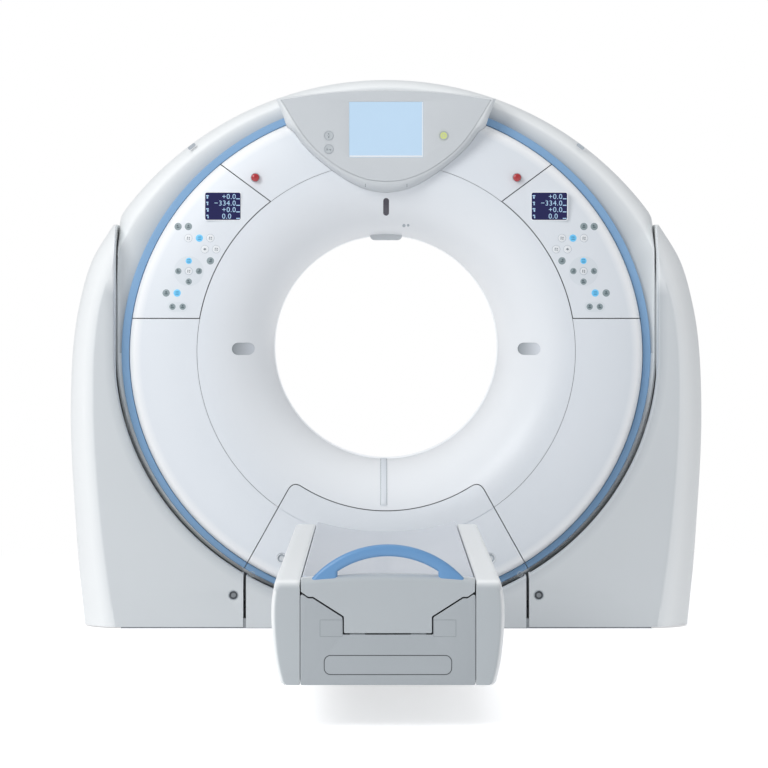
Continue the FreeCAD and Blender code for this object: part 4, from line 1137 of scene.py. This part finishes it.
def keyCap(name, x, z):  # silicone cap with a raised rim and a shallow dish
    r, near = keys["radius"], -console["front"] - keys["proud"]
    far = -console["front"] + 0.0016
    rim = keys["ring"]
    profile = [(r, far), (r, near + 0.0012), (r - 0.0005, near + 0.0003), (r - 0.0012, near),
               (r - rim + 0.0008, near), (r - rim, near + 0.0007), (r - rim - 0.002, near + 0.0010),
               (0.0008, near + 0.0004)]
    return newPiece(name, *turned(profile, x, z, 48))


def flatMark(outline, y, thick=0.0004):
    return loftParts([[(x, y, z) for x, z in outline], [(x, y - thick, z) for x, z in outline]])


def consolePaintedLight(p):  # painted light: pale on the top edge and on the wide upper ends of the rim, lighter toward the top
    if p.y > -console["shoulder"]:
        return 0.5
    (wide, low), crown = console["top"][0], console["top"][-1][1]
    top = crown - (crown - low) * (p.x / wide) ** 2
    return max(1.0 - (top - p.z) / 0.012, min(0.75, 0.08 + (p.z - 1.690) / 0.055 * 0.67), 0.08)


housing = consoleHousing()
paintTone(housing, consolePaintedLight)
dress(housing, "drum", finishes["console"], ["console_housing"])
dress(consoleFace(), "drum", finishes["console"], ["console_face"])
dress(consoleScreen(), "drum", finishes["screen"], ["console_screen"])
(w, h), z, front = screen["half"], screen["height"], -console["front"] + 0.0006
frameMark = [flatMark(box(w - 0.0035, w - 0.0010, z - h + 0.001, z + h - 0.001), front, 0.0002),
             flatMark(box(-w + 0.001, w - 0.0035, z - h + 0.001, z - h + 0.0060), front, 0.0002)]
dress(together("screenEdge", frameMark), "drum", finishes["keyWhite"])
keyLooks = {"start_key": ("keyGreen", "key_green"), "patient_key": ("keyCap", "key_grey"),
            "couch_key": ("keyCap", "key_grey")}
for keyName, (capFinish, slotName) in keyLooks.items():
    (x, z), stem = keys[keyName], keyName.replace("_", "")
    dress(keyCap(stem + "Cap", x, z), keyName, finishes[capFinish], [keyName])
    y = -console["front"] - keys["proud"] + 0.0009
    if keyName == "patient_key":  # a plain standing figure
        marks = [flatMark(circle(0.0022, x, z + 0.0058, 20), y),
                 flatMark(roundBox(x - 0.0034, x + 0.0034, z - 0.0020, z + 0.0028, 0.0012), y),
                 flatMark(box(x - 0.0020, x + 0.0020, z - 0.0080, z - 0.0016), y)]
    elif keyName == "couch_key":  # a bed on its feet
        marks = [flatMark(box(x - 0.008, x + 0.008, z - 0.0030, z - 0.0004), y),
                 flatMark(circle(0.0018, x - 0.0058, z + 0.0026, 20), y),
                 flatMark(box(x - 0.0070, x - 0.0050, z - 0.0060, z - 0.0028), y),
                 flatMark(box(x + 0.0050, x + 0.0070, z - 0.0060, z - 0.0028), y)]
    else:  # a thin circle
        marks = [bandParts(circle(0.0052, x, z, 32), 0.0012, 0.0004, lambda a, b: y)]
    ink = finishes["keyCap" if keyName == "start_key" else "print"]
    dress(together(stem + "Mark", marks), keyName, ink)
    edge = y - 0.0009
    width = 0.0036 if keyName == "start_key" else 0.0010
    rim = bandParts(circle(keys["radius"] - 0.0002, x, z, 48), width, 0.0001, lambda a, b: edge)
    dress(newPiece(stem + "Rim", *rim), keyName, finishes["greyTrim"])


def depthOn(piece):  # the depth of a piece's front surface at a place
    tree = BVHTree.FromPolygons([v.co for v in piece.data.vertices], [f.vertices for f in piece.data.polygons])
    return lambda x, z: tree.ray_cast(Vector((x, -2.0, z)), Vector((0.0, 1.0, 0.0)))[0].y


lip = depthOn(housing)
notches = [fieldParts(roundBox(x - 0.0013, x + 0.0013, 1.5110, 1.5215, 0.0012), 0.0003, lip)
           for x in (-0.071, 0.071)]
dress(together("consoleNotches", notches), "drum", finishes["print"])
print("console made")


# control panels: displays, key domes and the faint fields behind them
panel = {
    "display": (0.122, 0.094, 0.559, 1.446), "displayFit": 0.0003, "keyRadius": 0.0127, "keyRise": 0.0011,
    "rows": (("+0.0", 0.0), ("\u2212334.0", 0.0), ("+0.0", 0.0), ("0.0", 0.0155)), "digitSize": 0.0245,
    "keys": [("grey", 0.714, 1.377), ("grey", 0.678, 1.377), ("white", 0.678, 1.337), ("blue", 0.640, 1.337),
             ("white", 0.602, 1.337), ("white", 0.621, 1.299), ("white", 0.582, 1.299), ("blue", 0.676, 1.259),
             ("grey", 0.602, 1.259), ("grey", 0.712, 1.224), ("outlined", 0.676, 1.224), ("grey", 0.641, 1.224),
             ("grey", 0.676, 1.188), ("grey", 0.754, 1.149), ("blue", 0.716, 1.149), ("grey", 0.732, 1.102),
             ("grey", 0.697, 1.102)],
    "disc": (0.676, 1.224, 0.051), "oblong": (0.7145, 1.102, 0.070, 0.034),
}


def domeParts(x, z, radius, rise, rings=4, count=28, dish=0.0):  # low dome laid on the front moulding
    points, faces = [(x, frontDepth(x, z) - rise + dish, z)], []
    for j in range(1, rings + 2):
        share = min(j, rings) / rings
        height = rise * math.sqrt(max(0.0, 1 - (share ** 3))) if j <= rings else -0.0008
        height -= dish * (1 - share) if dish else 0.0
        for t in fullTurn(count):
            px, pz = x + radius * share * math.cos(t), z + radius * share * math.sin(t)
            points.append((px, frontDepth(px, pz) - height, pz))
    for i in range(count):
        faces.append((0, 1 + i, 1 + (i + 1) % count))
    for j in range(rings):
        a, b = 1 + j * count, 1 + (j + 1) * count
        faces += ringFaces(b, a, count)
    faces.append(tuple(range(1 + rings * count, 1 + (rings + 1) * count))[::-1])
    return points, faces


def panelKeys(side):
    suffix = "Right" if side > 0 else "Left"
    colours = {"grey": [], "white": [], "blue": []}
    rings = []
    for kind, x, z in panel["keys"]:
        radius = panel["keyRadius"]
        if kind == "outlined":
            rings.append(bandParts(circle(radius + 0.001, side * x, z, 36), 0.0014, 0.0010))
            colours["white"].append(domeParts(side * x, z, radius - 0.001, panel["keyRise"]))
            continue
        colours[kind].append(domeParts(side * x, z, radius, panel["keyRise"]))
        # painted shadow: a pale grey ring round each white key stands in for the shade of its dome
        if kind == "white":
            rings.append(bandParts(circle(radius + 0.0012, side * x, z, 36), 0.0012, 0.0006))
    for kind, finishName, slotName in (("grey", "keyGrey", "key_grey"), ("white", "keyWhite", "white_cover"),
                                       ("blue", "keyBlue", "display")):
        dress(together(kind + "Keys" + suffix, colours[kind]), "drum", finishes[finishName])
    x, z, r = panel["disc"]
    disc = newPiece("keyDisc" + suffix, *fieldParts(circle(r, side * x, z, 72), 0.0005))
    dress(disc, "drum", finishes["panelField"])
    x, z, w, h = panel["oblong"]
    oblong = newPiece("keyOblong" + suffix, *fieldParts(slotShape(w, h, side * x, z), 0.0005))
    dress(oblong, "drum", finishes["panelField"])
    dress(together("keyRingsAndShadows" + suffix, rings), "drum", finishes["paleInkAndShadow"])
    greyMarks, paleMarks, blueMarks = [], [], []
    for i, (kind, x, z) in enumerate(panel["keys"]):  # small generic marks on the keys
        x *= side
        if kind == "grey":
            greyMarks.append(fieldParts(roundBox(x - 0.0050, x + 0.0050, z - 0.0044, z - 0.0008, 0.0012), 0.0025))
            greyMarks.append(fieldParts(circle(0.0030, x + (i % 3 - 1) * 0.0022, z + 0.0034, 16), 0.0024))
        elif kind == "blue":
            blueMarks += [fieldParts(box(x - 0.0058, x + 0.0058, z + h, z + h + 0.0021), 0.0025)
                          for h in (-0.0048, 0.0026)]
        elif i % 2:
            lozenge = [(x - 0.0058, z), (x, z - 0.0045), (x + 0.0058, z), (x, z + 0.0045)]
            paleMarks.append(fieldParts(lozenge, 0.0020))
        else:
            dots = ((-0.0030, 0.0030), (0.0034, 0.0024), (-0.0034, -0.0028), (0.0030, -0.0034))
            paleMarks += [fieldParts(circle(0.0020, x + dx, z + dz, 16), 0.0024) for dx, dz in dots]
    dress(together("greyKeyMarks" + suffix, greyMarks), "drum", finishes["darkPrint"])
    dress(together("whiteKeyMarks" + suffix, paleMarks), "drum", finishes["print"])
    dress(together("blueKeyMarks" + suffix, blueMarks), "drum", finishes["bluePrint"])


def textParts(words, size, x, y, z):  # digits from the built-in face, as a mesh that stands upright
    curve = bpy.data.curves.new("digits", "FONT")
    curve.body, curve.size, curve.extrude, curve.align_x = words, size, 0.00015, "RIGHT"
    curve.space_character = 1.10
    holder = bpy.data.objects.new("digits", curve)
    bpy.context.scene.collection.objects.link(holder)
    mesh = bpy.data.meshes.new_from_object(holder.evaluated_get(bpy.context.evaluated_depsgraph_get()))
    points = [(x + v.co.x, y - v.co.z, z + v.co.y) for v in mesh.vertices]
    faces = [tuple(f.vertices) for f in mesh.polygons]
    bpy.data.objects.remove(holder)
    bpy.data.curves.remove(curve)
    bpy.data.meshes.remove(mesh)
    return points, faces


def panelDisplay(side):
    w, h, x, z = panel["display"]
    x, suffix, fit = x * side, "Right" if side > 0 else "Left", panel["displayFit"]
    outline = roundBox(x - w / 2 + fit, x + w / 2 - fit, z - h / 2 + fit, z + h / 2 - fit, 0.006, 4)
    corners = [frontDepth(px, pz) for px, pz in outline]
    near = min(corners) - 0.0008
    glass = loft("display" + suffix, [[(px, near, pz) for px, pz in offset(outline, -0.0012)],
                                      [(px, near + 0.0010, pz) for px, pz in outline],
                                      [(px, max(corners) + 0.004, pz) for px, pz in outline]])
    dress(glass, "drum", finishes["display"], ["panel_displays"] if side > 0 else ())
    rim = bandParts(offset(outline, 0.0030), 0.0030, 0.0, lambda a, b: near + 0.0002)
    rimPoints = [(px, y if y < near + 0.0004 else max(corners) + 0.003, pz) for px, y, pz in rim[0]]
    dress(newPiece("displayRim" + suffix, rimPoints, rim[1]), "drum", finishes["keyWhite"])
    lines, step = [], h * 0.238
    for i, (words, back) in enumerate(panel["rows"]):
        low = z + h / 2 - h * 0.235 - step * i
        icon, wide = x - w * 0.435, 0.0050 - 0.0012 * (i % 2)
        post = icon + 0.0008 * i
        lines.append(textParts(words, panel["digitSize"], x + w * 0.365 - back, near - 0.0002, low))
        for shape in (box(x + w * 0.375, x + w * 0.480, low - 0.0010, low + 0.0022),
                      roundBox(icon - wide, icon + wide, low + 0.0090, low + 0.0130, 0.0016),
                      box(post - wide * 0.5, post + wide * 0.5, low + 0.0012, low + 0.0080)):
            lines.append(flatMark(shape, near - 0.0001, 0.0003))
    dress(together("digits" + suffix, lines), "drum", finishes["digits"])


for side in (-1, 1):
    panelKeys(side)
    panelDisplay(side)
print("panels made")

# emergency stops: a glossy mushroom head on a stem, over a thin grey collar
stop = {"head": 0.0137, "stem": 0.0078, "near": -0.363, "foot": -0.351, "back": -0.321, "collar": 0.0166,
        "dome": 0.0060}


def stopButton(side):
    s, (x, z), hand = stop, details["stopPlace"], "Right" if side > 0 else "Left"
    x *= side
    profile = [(s["stem"], s["back"]), (s["stem"], s["foot"]), (s["head"] - 0.001, s["foot"]),
               (s["head"], s["foot"] - 0.001)]
    profile += [(max(s["head"] * math.cos(t), 0.0006), s["near"] + s["dome"] * (1 - math.sin(t)))
                for t in quarter(9)]
    name = "stop_button_" + hand.lower()
    button = newPiece("stopButton" + hand, *turned(profile, x, z, 56))
    dress(button, name, finishes["red"], [name], 40)
    face = frontDepth(x, z)
    collar = [(s["collar"], face + 0.003), (s["collar"], face - 0.0008), (s["collar"] - 0.0010, face - 0.0020),
              (s["collar"] - 0.0030, face - 0.0020), (details["stopHole"] + 0.001, face - 0.0012),
              (details["stopHole"] + 0.001, face + 0.003)]
    ring = loft("stopCollar" + hand, [ovalRow(r, r, y, z, 56, x) for r, y in collar], wrapped=True)
    dress(ring, "drum", finishes["greyTrim"])


for side in (-1, 1):
    stopButton(side)

# small marks: round catches beside the door locks and oblong vents on the arch's band
marks = {"catch": (0.460, 0.184, 0.0095), "vent": (0.671, 1.655, 0.030, 0.012), "sensor": (0.062, 1.383)}
catches = [bandParts(circle(marks["catch"][2], s * marks["catch"][0], marks["catch"][1], 32), 0.0018, 0.0008)
           for s in (-1, 1)]
dress(together("doorCatches", catches), "drum", finishes["greyTrim"])
vents = []
for side in (-1, 1):
    x, z, w, h = marks["vent"]
    cosine, sine = math.cos(math.radians(38)), -side * math.sin(math.radians(38))
    outline = [(side * x + px * cosine - pz * sine, z + px * sine + pz * cosine)
               for px, pz in slotShape(w, h, 0, 0)]
    vents.append(flatMark(outline, -drum["face"] - 0.0005, 0.0038))
dress(together("archVents", vents), "drum", finishes["greyTrim"])
x, z = marks["sensor"]
sensors = [domeParts(x, z, 0.0055, 0.0008), domeParts(x + 0.0145, z + 0.001, 0.0045, 0.0008)]
dress(together("funnelSensor", sensors), "drum", finishes["greyTrim"])
print("small marks made")


# couch: side covers with a rounded near end, its end panel, cap, cradle and handle
couch = {
    "near": -2.951, "far": -0.830, "low": 0.117, "top": 0.392, "inner": 0.231,
    "nearRound": 0.026, "flankRound": 0.015, "farRound": 0.014,
    "side": [(0.2950, 0.392), (0.3040, 0.345), (0.3060, 0.290), (0.3020, 0.225), (0.2935, 0.165), (0.2810, 0.117)],
    "sideRound": 0.011, "lowRound": 0.008, "skin": 0.005,
    "well": [(0.229, 0.361), (0.209, 0.347), (0.196, 0.347), (0.116, 0.296), (0.116, 0.252)], "gap": 0.003,
    "half": 0.2285, "capDepth": 0.071, "capEdge": 0.393, "capCrown": 0.405,
    "rim": (0.2255, 0.400), "dip": 0.368, "thick": 0.0208, "carriage": 0.410,
}


def capTop(x):  # height of the end cap's crown
    return couch["capCrown"] - (couch["capCrown"] - couch["capEdge"]) * (x / couch["half"]) ** 2


def sideSection(inset, inner, openBelow=False, drop=None):  # outline of the right-hand side cover, x and z
    c = couch
    drop = inset if drop is None else drop
    line = smoothLine(c["side"], 5)
    line = [(x - inset, min(z, c["top"] - drop)) for x, z in line]
    top, low = c["top"] - drop, c["low"] + (0.0 if not openBelow else -0.03)
    r, q = max(c["sideRound"] - 0.4 * inset, 0.003), max(c["lowRound"] - 0.3 * inset, 0.002)
    line = [p for p in line if p[1] < top - r and p[1] > c["low"] + q]
    out = [(inner, low), (inner, top)]
    edge = line[0][0] - 0.0006
    for t in quarter(5):
        out.append((edge - r + r * math.sin(t), top - r + r * math.cos(t)))
    out += line
    foot = line[-1][0] - 0.0012
    if openBelow:
        return out + [(foot, low)]
    for t in quarter(4):
        out.append((foot - q + q * math.cos(t) - (0.0016 if t else 0.0), low + q - q * math.sin(t)))
    return out


def couchSide():
    c = couch
    rows = []

    def row(y, inset, drop=None):
        line = sideSection(inset, c["inner"], drop=drop)
        return [(x, y, z) for x, z in resample(line + [line[0]], 90)[:-1]]
    for t in quarter(9):
        rows.append(row(c["near"] + c["nearRound"] * (1 - math.cos(t)), c["flankRound"] * (1 - math.sin(t)),
                        c["nearRound"] * (1 - math.sin(t))))
    rows.append(row(c["far"] - c["farRound"], 0.0))
    for t in quarter(5)[1:]:
        rows.append(row(c["far"] - c["farRound"] * (1 - math.sin(t)), c["farRound"] * 0.7 * (1 - math.cos(t))))
    body = loft("couchSideRight", rows)
    line = sideSection(c["skin"] + c["nearRound"] * 0.2, c["inner"] + c["skin"], True)
    carve(body, prism("toolAs", line[::-1], c["near"] + 0.012, c["far"] - 0.012))
    return body


def wellLine(drop):  # the stepped edge between the near cover and the cap, right-hand half
    edge, step, slope, throat, heel = couch["well"]
    return [(edge[0], edge[1] - drop), (step[0], step[1] - drop), (slope[0] + drop * 0.3, slope[1] - drop),
            (throat[0] + drop, throat[1] - drop * 0.6), (heel[0] + drop, heel[1] - drop)]


def nearCover():
    c = couch
    right = [(c["half"] + 0.0005, c["low"])] + wellLine(c["gap"])
    radii = [0.004, 0.004, 0.003, 0.003, 0.004, 0.004]
    outline = roundCorners(right + mirrored(right), radii + radii, 3)
    return roundedPrism("couchNearCover", outline, c["near"], c["near"] + 0.005, 0.0016)


def endCap():
    c, step = couch, wellLine(0.0)
    half, r = c["half"], 0.016
    crown = [(x, capTop(x)) for x in [half * i / 12 for i in range(12, -13, -1)]]
    right = [(half, step[0][1])] + step[1:]
    radii = [0.0, 0.003, 0.003, 0.004, 0.004]
    whole = roundCorners(mirrored(right[::-1]) + right[::-1], radii + radii[::-1], 3) + crown
    rows = [[(x, c["near"] + c["capDepth"], z) for x, z in whole]]

    def shrunk(by):
        return [(x, min(z, capTop(x) - by)) for x, z in offset(whole, -0.0016 * by / r)]
    for t in quarter(6):
        rows.append([(x, c["near"] + r * (1 - math.sin(t)), z) for x, z in shrunk(r * (1 - math.cos(t)))])
    back = c["near"] + c["capDepth"]
    runner = prism("toolAt", step[2:] + mirrored(step[2:]), back - 0.001, back + c["carriage"])
    return carve(loft("couchEndCap", rows), runner, "UNION")


def cradleTray():
    c = couch
    rim, rimZ = c["rim"]
    low = c["dip"] - c["thick"]
    start, end = c["near"] + c["capDepth"], c["far"]
    upper = [(rim * i / 20, c["dip"] + (rimZ - c["dip"]) * (i / 20) ** 2) for i in range(20, -21, -1)]
    under = [((rim + 0.002) * i / 20, low + (rimZ - 0.014 - low) * (i / 20) ** 2) for i in range(-20, 21)]
    corner = [(rim, rimZ - 0.0030), (rim - 0.003, rimZ - 0.0008)]
    outline = upper[1:-1] + mirrored(corner) + under + corner
    rows = [[(x, start, z) for x, z in outline]]
    r = 0.010
    for t in quarter(5):
        rows.append([(x * (1 - 0.012 * (1 - math.cos(t))), end - r * (1 - math.sin(t)),
                      z - 0.004 * (1 - math.cos(t)) * (1 if z > 0.35 else -0.5)) for x, z in outline])
    return loft("cradleTray", rows)


handle = {"half": 0.202, "top": 0.484, "band": 0.031, "post": 0.132, "near": 0.005, "depth": 0.030,
          "round": 0.010, "sink": 0.004}


def couchHandle():  # a bent bar of one section, its two feet spread on the cap
    h = handle
    rise = h["top"] - couch["capEdge"]
    radius = (h["half"] ** 2 + rise ** 2) / (2 * rise)
    centre, inner = h["top"] - radius, radius - h["band"]
    low = capTop(h["half"]) - h["sink"]
    wide, narrow = math.acos((low - centre) / radius), math.asin(h["post"] / inner)
    knee = centre + inner * math.cos(narrow)

    def station(turn, x, z):  # from the outer arc's turn and the inner point
        outer, foot = Vector((radius * math.sin(turn), centre + radius * math.cos(turn))), Vector((x, z))
        across, near = outer - foot, couch["near"] + h["near"]
        wide = across.length
        ring = roundBox(0.0, wide, near, near + h["depth"], h["round"], 5)
        return [(foot.x + across.x * w / wide, y, foot.y + across.y * w / wide) for w, y in ring]
    half = [station(wide + (narrow - wide) * t, h["post"], low + (knee - low) * t) for t in (0.0, 0.3, 0.6, 0.85)]
    arc = [narrow - 2 * narrow * i / 40 for i in range(41)]
    rows = half + [station(t, inner * math.sin(t), centre + inner * math.cos(t)) for t in arc]
    rows += [[(-x, y, z) for x, y, z in row] for row in half[::-1]]
    return loft("couchHandle", rows)


def couchPaintedShade(p):  # painted shade: grey on the near end, white above and outside
    return (p.y - couch["near"] - 0.0005) / (0.004 if p.z < couch["top"] - 0.030 else 0.010)


sideRight = couchSide()
sideLeft = mirrorOf(sideRight, "couchSideLeft")
cap = endCap()
paintTone(sideRight, couchPaintedShade)
paintTone(sideLeft, couchPaintedShade)
# painted shade: the cap is grey on its near face and lightens as it runs back
paintTone(cap, lambda p: 0.35 * (p.y - couch["near"] - 0.001) / 0.030)
dress(sideRight, "couch", finishes["couch"], ["couch_side_cover_right"])
dress(sideLeft, "couch", finishes["couch"], ["couch_side_cover_left"])
near = couch["near"]
groove = bandParts(roundBox(-0.168, 0.168, 0.1435, 0.196, 0.018, 8), 0.0024, 0.0012, lambda a, b: near + 0.0010)
panelNear = carve(nearCover(), newPiece("toolAu", *groove))
dress(panelNear, "couch", finishes["couchEndShade"], ["couch_near_cover"])
# painted shadow: a dark strip laid in the groove's bottom
line = bandParts(roundBox(-0.1677, 0.1677, 0.1438, 0.1957, 0.0177, 8), 0.0018, 0.0, lambda a, b: near + 0.0006)
dress(newPiece("couchGrooveShadow", *line), "couch", finishes["darkPocket"])
squares = [bandParts(roundBox(x - 0.030, x + 0.030, 0.2435, 0.2885, 0.002, 2), 0.0014, 0.0003, lambda a, b: near)
           for x in (-0.1485, 0.1485)]
dress(together("couchEndSquares", squares), "couch", finishes["couchField"])
dress(cap, "tabletop", finishes["couch"], ["cradle_carriage"])
dress(cradleTray(), "tabletop", finishes["cradle"], ["cradle"])
dress(couchHandle(), "tabletop", finishes["blueHandle"], ["couch_handle"])
print("couch made")

# what keeps its solid gets the finish of what it is
keptNodes = {
    "steelPaint": ["stand_frame_left", "stand_frame_right", "tilt_frame", "power_unit", "xray_tube", "collimator",
                   "voltage_tanks", "floor_base"],
    "motorPaint": ["tilt_gearmotor", "drive_stator"], "darkPocket": ["brush_block"],
    "steel": ["trunnion_bearings", "bearing_outer_ring", "bearing_inner_ring"],
    "aluminium": ["rotor_disc", "detector_arc"], "brass": ["slip_ring"],
    "columnPaint": ["couch_base", "lift_stage_lower", "lift_stage_upper", "couch_frame"],
    "couchEndShade": ["couch_far_cover"],
}
for finishName, nodes in keptNodes.items():
    for node in nodes:
        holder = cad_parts[node]
        for place in holder.material_slots:
            place.material = finishes[finishName]
print("solids dressed")

# floor: takes the object's shadow near it and melts into white further out
studio = {"floorHalf": 40.0, "fade": (1.6, 4.2), "middle": (0.0, -0.9), "floor": "#FBFBFC", "lift": 0.60}


def studioFloor():
    half = studio["floorHalf"]
    floor = newPiece("studioFloor", [(-half, -half, 0), (half, -half, 0), (half, half, 0), (-half, half, 0)],
                     [(0, 1, 2, 3)])
    finish, tree = newFinish("studioPaper")
    place = addNode(tree, "TexCoord")
    shift = addNode(tree, "Mapping", values={"Location": (-studio["middle"][0], -studio["middle"][1], 0)},
                    links={"Vector": (place, "Object")})
    reach = addNode(tree, "VectorMath", {"operation": "LENGTH"}, links={0: (shift, "Vector")})
    fade = addNode(tree, "MapRange", {"interpolation_type": "SMOOTHSTEP"},
                   values={"From Min": studio["fade"][0], "From Max": studio["fade"][1]},
                   links={"Value": (reach, "Value")})
    paper = addNode(tree, "BsdfDiffuse", values={"Color": hexColour(studio["floor"])})
    white = addNode(tree, "Emission", values={"Strength": 1.0})
    seen = addNode(tree, "LightPath")
    direct = addNode(tree, "Math", {"operation": "ADD", "use_clamp": True},
                     links={0: (seen, "Is Camera Ray"), 1: (seen, "Is Glossy Ray")})
    direct = addNode(tree, "Math", {"operation": "ADD", "use_clamp": True},
                     links={0: (direct, "Value"), 1: (seen, "Is Transmission Ray")})
    share = addNode(tree, "Math", {"operation": "MULTIPLY"}, links={0: (direct, "Value"), 1: (fade, "Result")})
    lift = addNode(tree, "Math", {"operation": "MULTIPLY"}, {1: studio["lift"]}, {0: (direct, "Value")})
    raised = addNode(tree, "Emission", links={"Strength": (lift, "Value")})  # as a light table does
    near = addNode(tree, "AddShader", links={0: (paper, "BSDF"), 1: (raised, "Emission")})
    mix = addNode(tree, "MixShader", links={0: (share, "Value"), 1: (near, "Shader"), 2: (white, "Emission")})
    addNode(tree, "OutputMaterial", links={"Surface": (mix, "Shader")})
    floor.data.materials.append(finish)


studioFloor()

# light: a broad key from the upper left, a weaker fill from the right and one overhead
lamps = [
    {"name": "keyLight", "place": (-5.4, -7.6, 5.6), "aim": (0.0, 0.0, 0.9), "size": 5.0, "watts": 385},
    {"name": "fillLight", "place": (5.5, -6.0, 3.0), "aim": (0.0, 0.0, 0.9), "size": 4.5, "watts": 22},
    {"name": "topLight", "place": (0.0, -1.5, 6.5), "aim": (0.0, -0.4, 0.0), "size": 5.0, "watts": 45},
]
for lamp in lamps:
    light = bpy.data.lights.new(lamp["name"], "AREA")
    light.shape, light.size, light.energy = "DISK", lamp["size"], lamp["watts"]
    holder = bpy.data.objects.new(lamp["name"], light)
    holder.location = lamp["place"]
    holder.rotation_euler = (Vector(lamp["aim"]) - Vector(lamp["place"])).to_track_quat("-Z", "Y").to_euler()
    bpy.context.scene.collection.objects.link(holder)

world = bpy.data.worlds.new("studioAir")
bpy.context.scene.world = world
world.use_nodes = True
air = world.node_tree
air.nodes.clear()
soft = addNode(air, "Background", values={"Color": hexColour("#F3F6FA"), "Strength": 0.50})
plain = addNode(air, "Background", values={"Strength": 1.0})
plain.inputs["Color"].default_value = (1, 1, 1, 1)
looked = addNode(air, "LightPath")
either = addNode(air, "Math", {"operation": "MAXIMUM"}, links={0: (looked, "Is Camera Ray"),
                                                              1: (looked, "Is Transmission Ray")})
blendAir = addNode(air, "MixShader",
                   links={0: (either, "Value"), 1: (soft, "Background"), 2: (plain, "Background")})
addNode(air, "OutputWorld", links={"Surface": (blendAir, "Shader")})

# camera: level, in front of the couch, the photograph's view
view = {"place": (-0.020, -11.390, 1.124), "lens": 151.2, "sensor": 36.0, "shift": (0.0048, -0.109)}
camera = bpy.data.cameras.new("camera")
camera.lens, camera.sensor_width = view["lens"], view["sensor"]
camera.shift_x, camera.shift_y = view["shift"]
camera.clip_end = 200
cameraHolder = bpy.data.objects.new("camera", camera)
cameraHolder.location = view["place"]
cameraHolder.rotation_euler = (math.radians(90), 0, 0)
bpy.context.scene.collection.objects.link(cameraHolder)
bpy.context.scene.camera = cameraHolder
bpy.context.scene.view_settings.view_transform = "Standard"
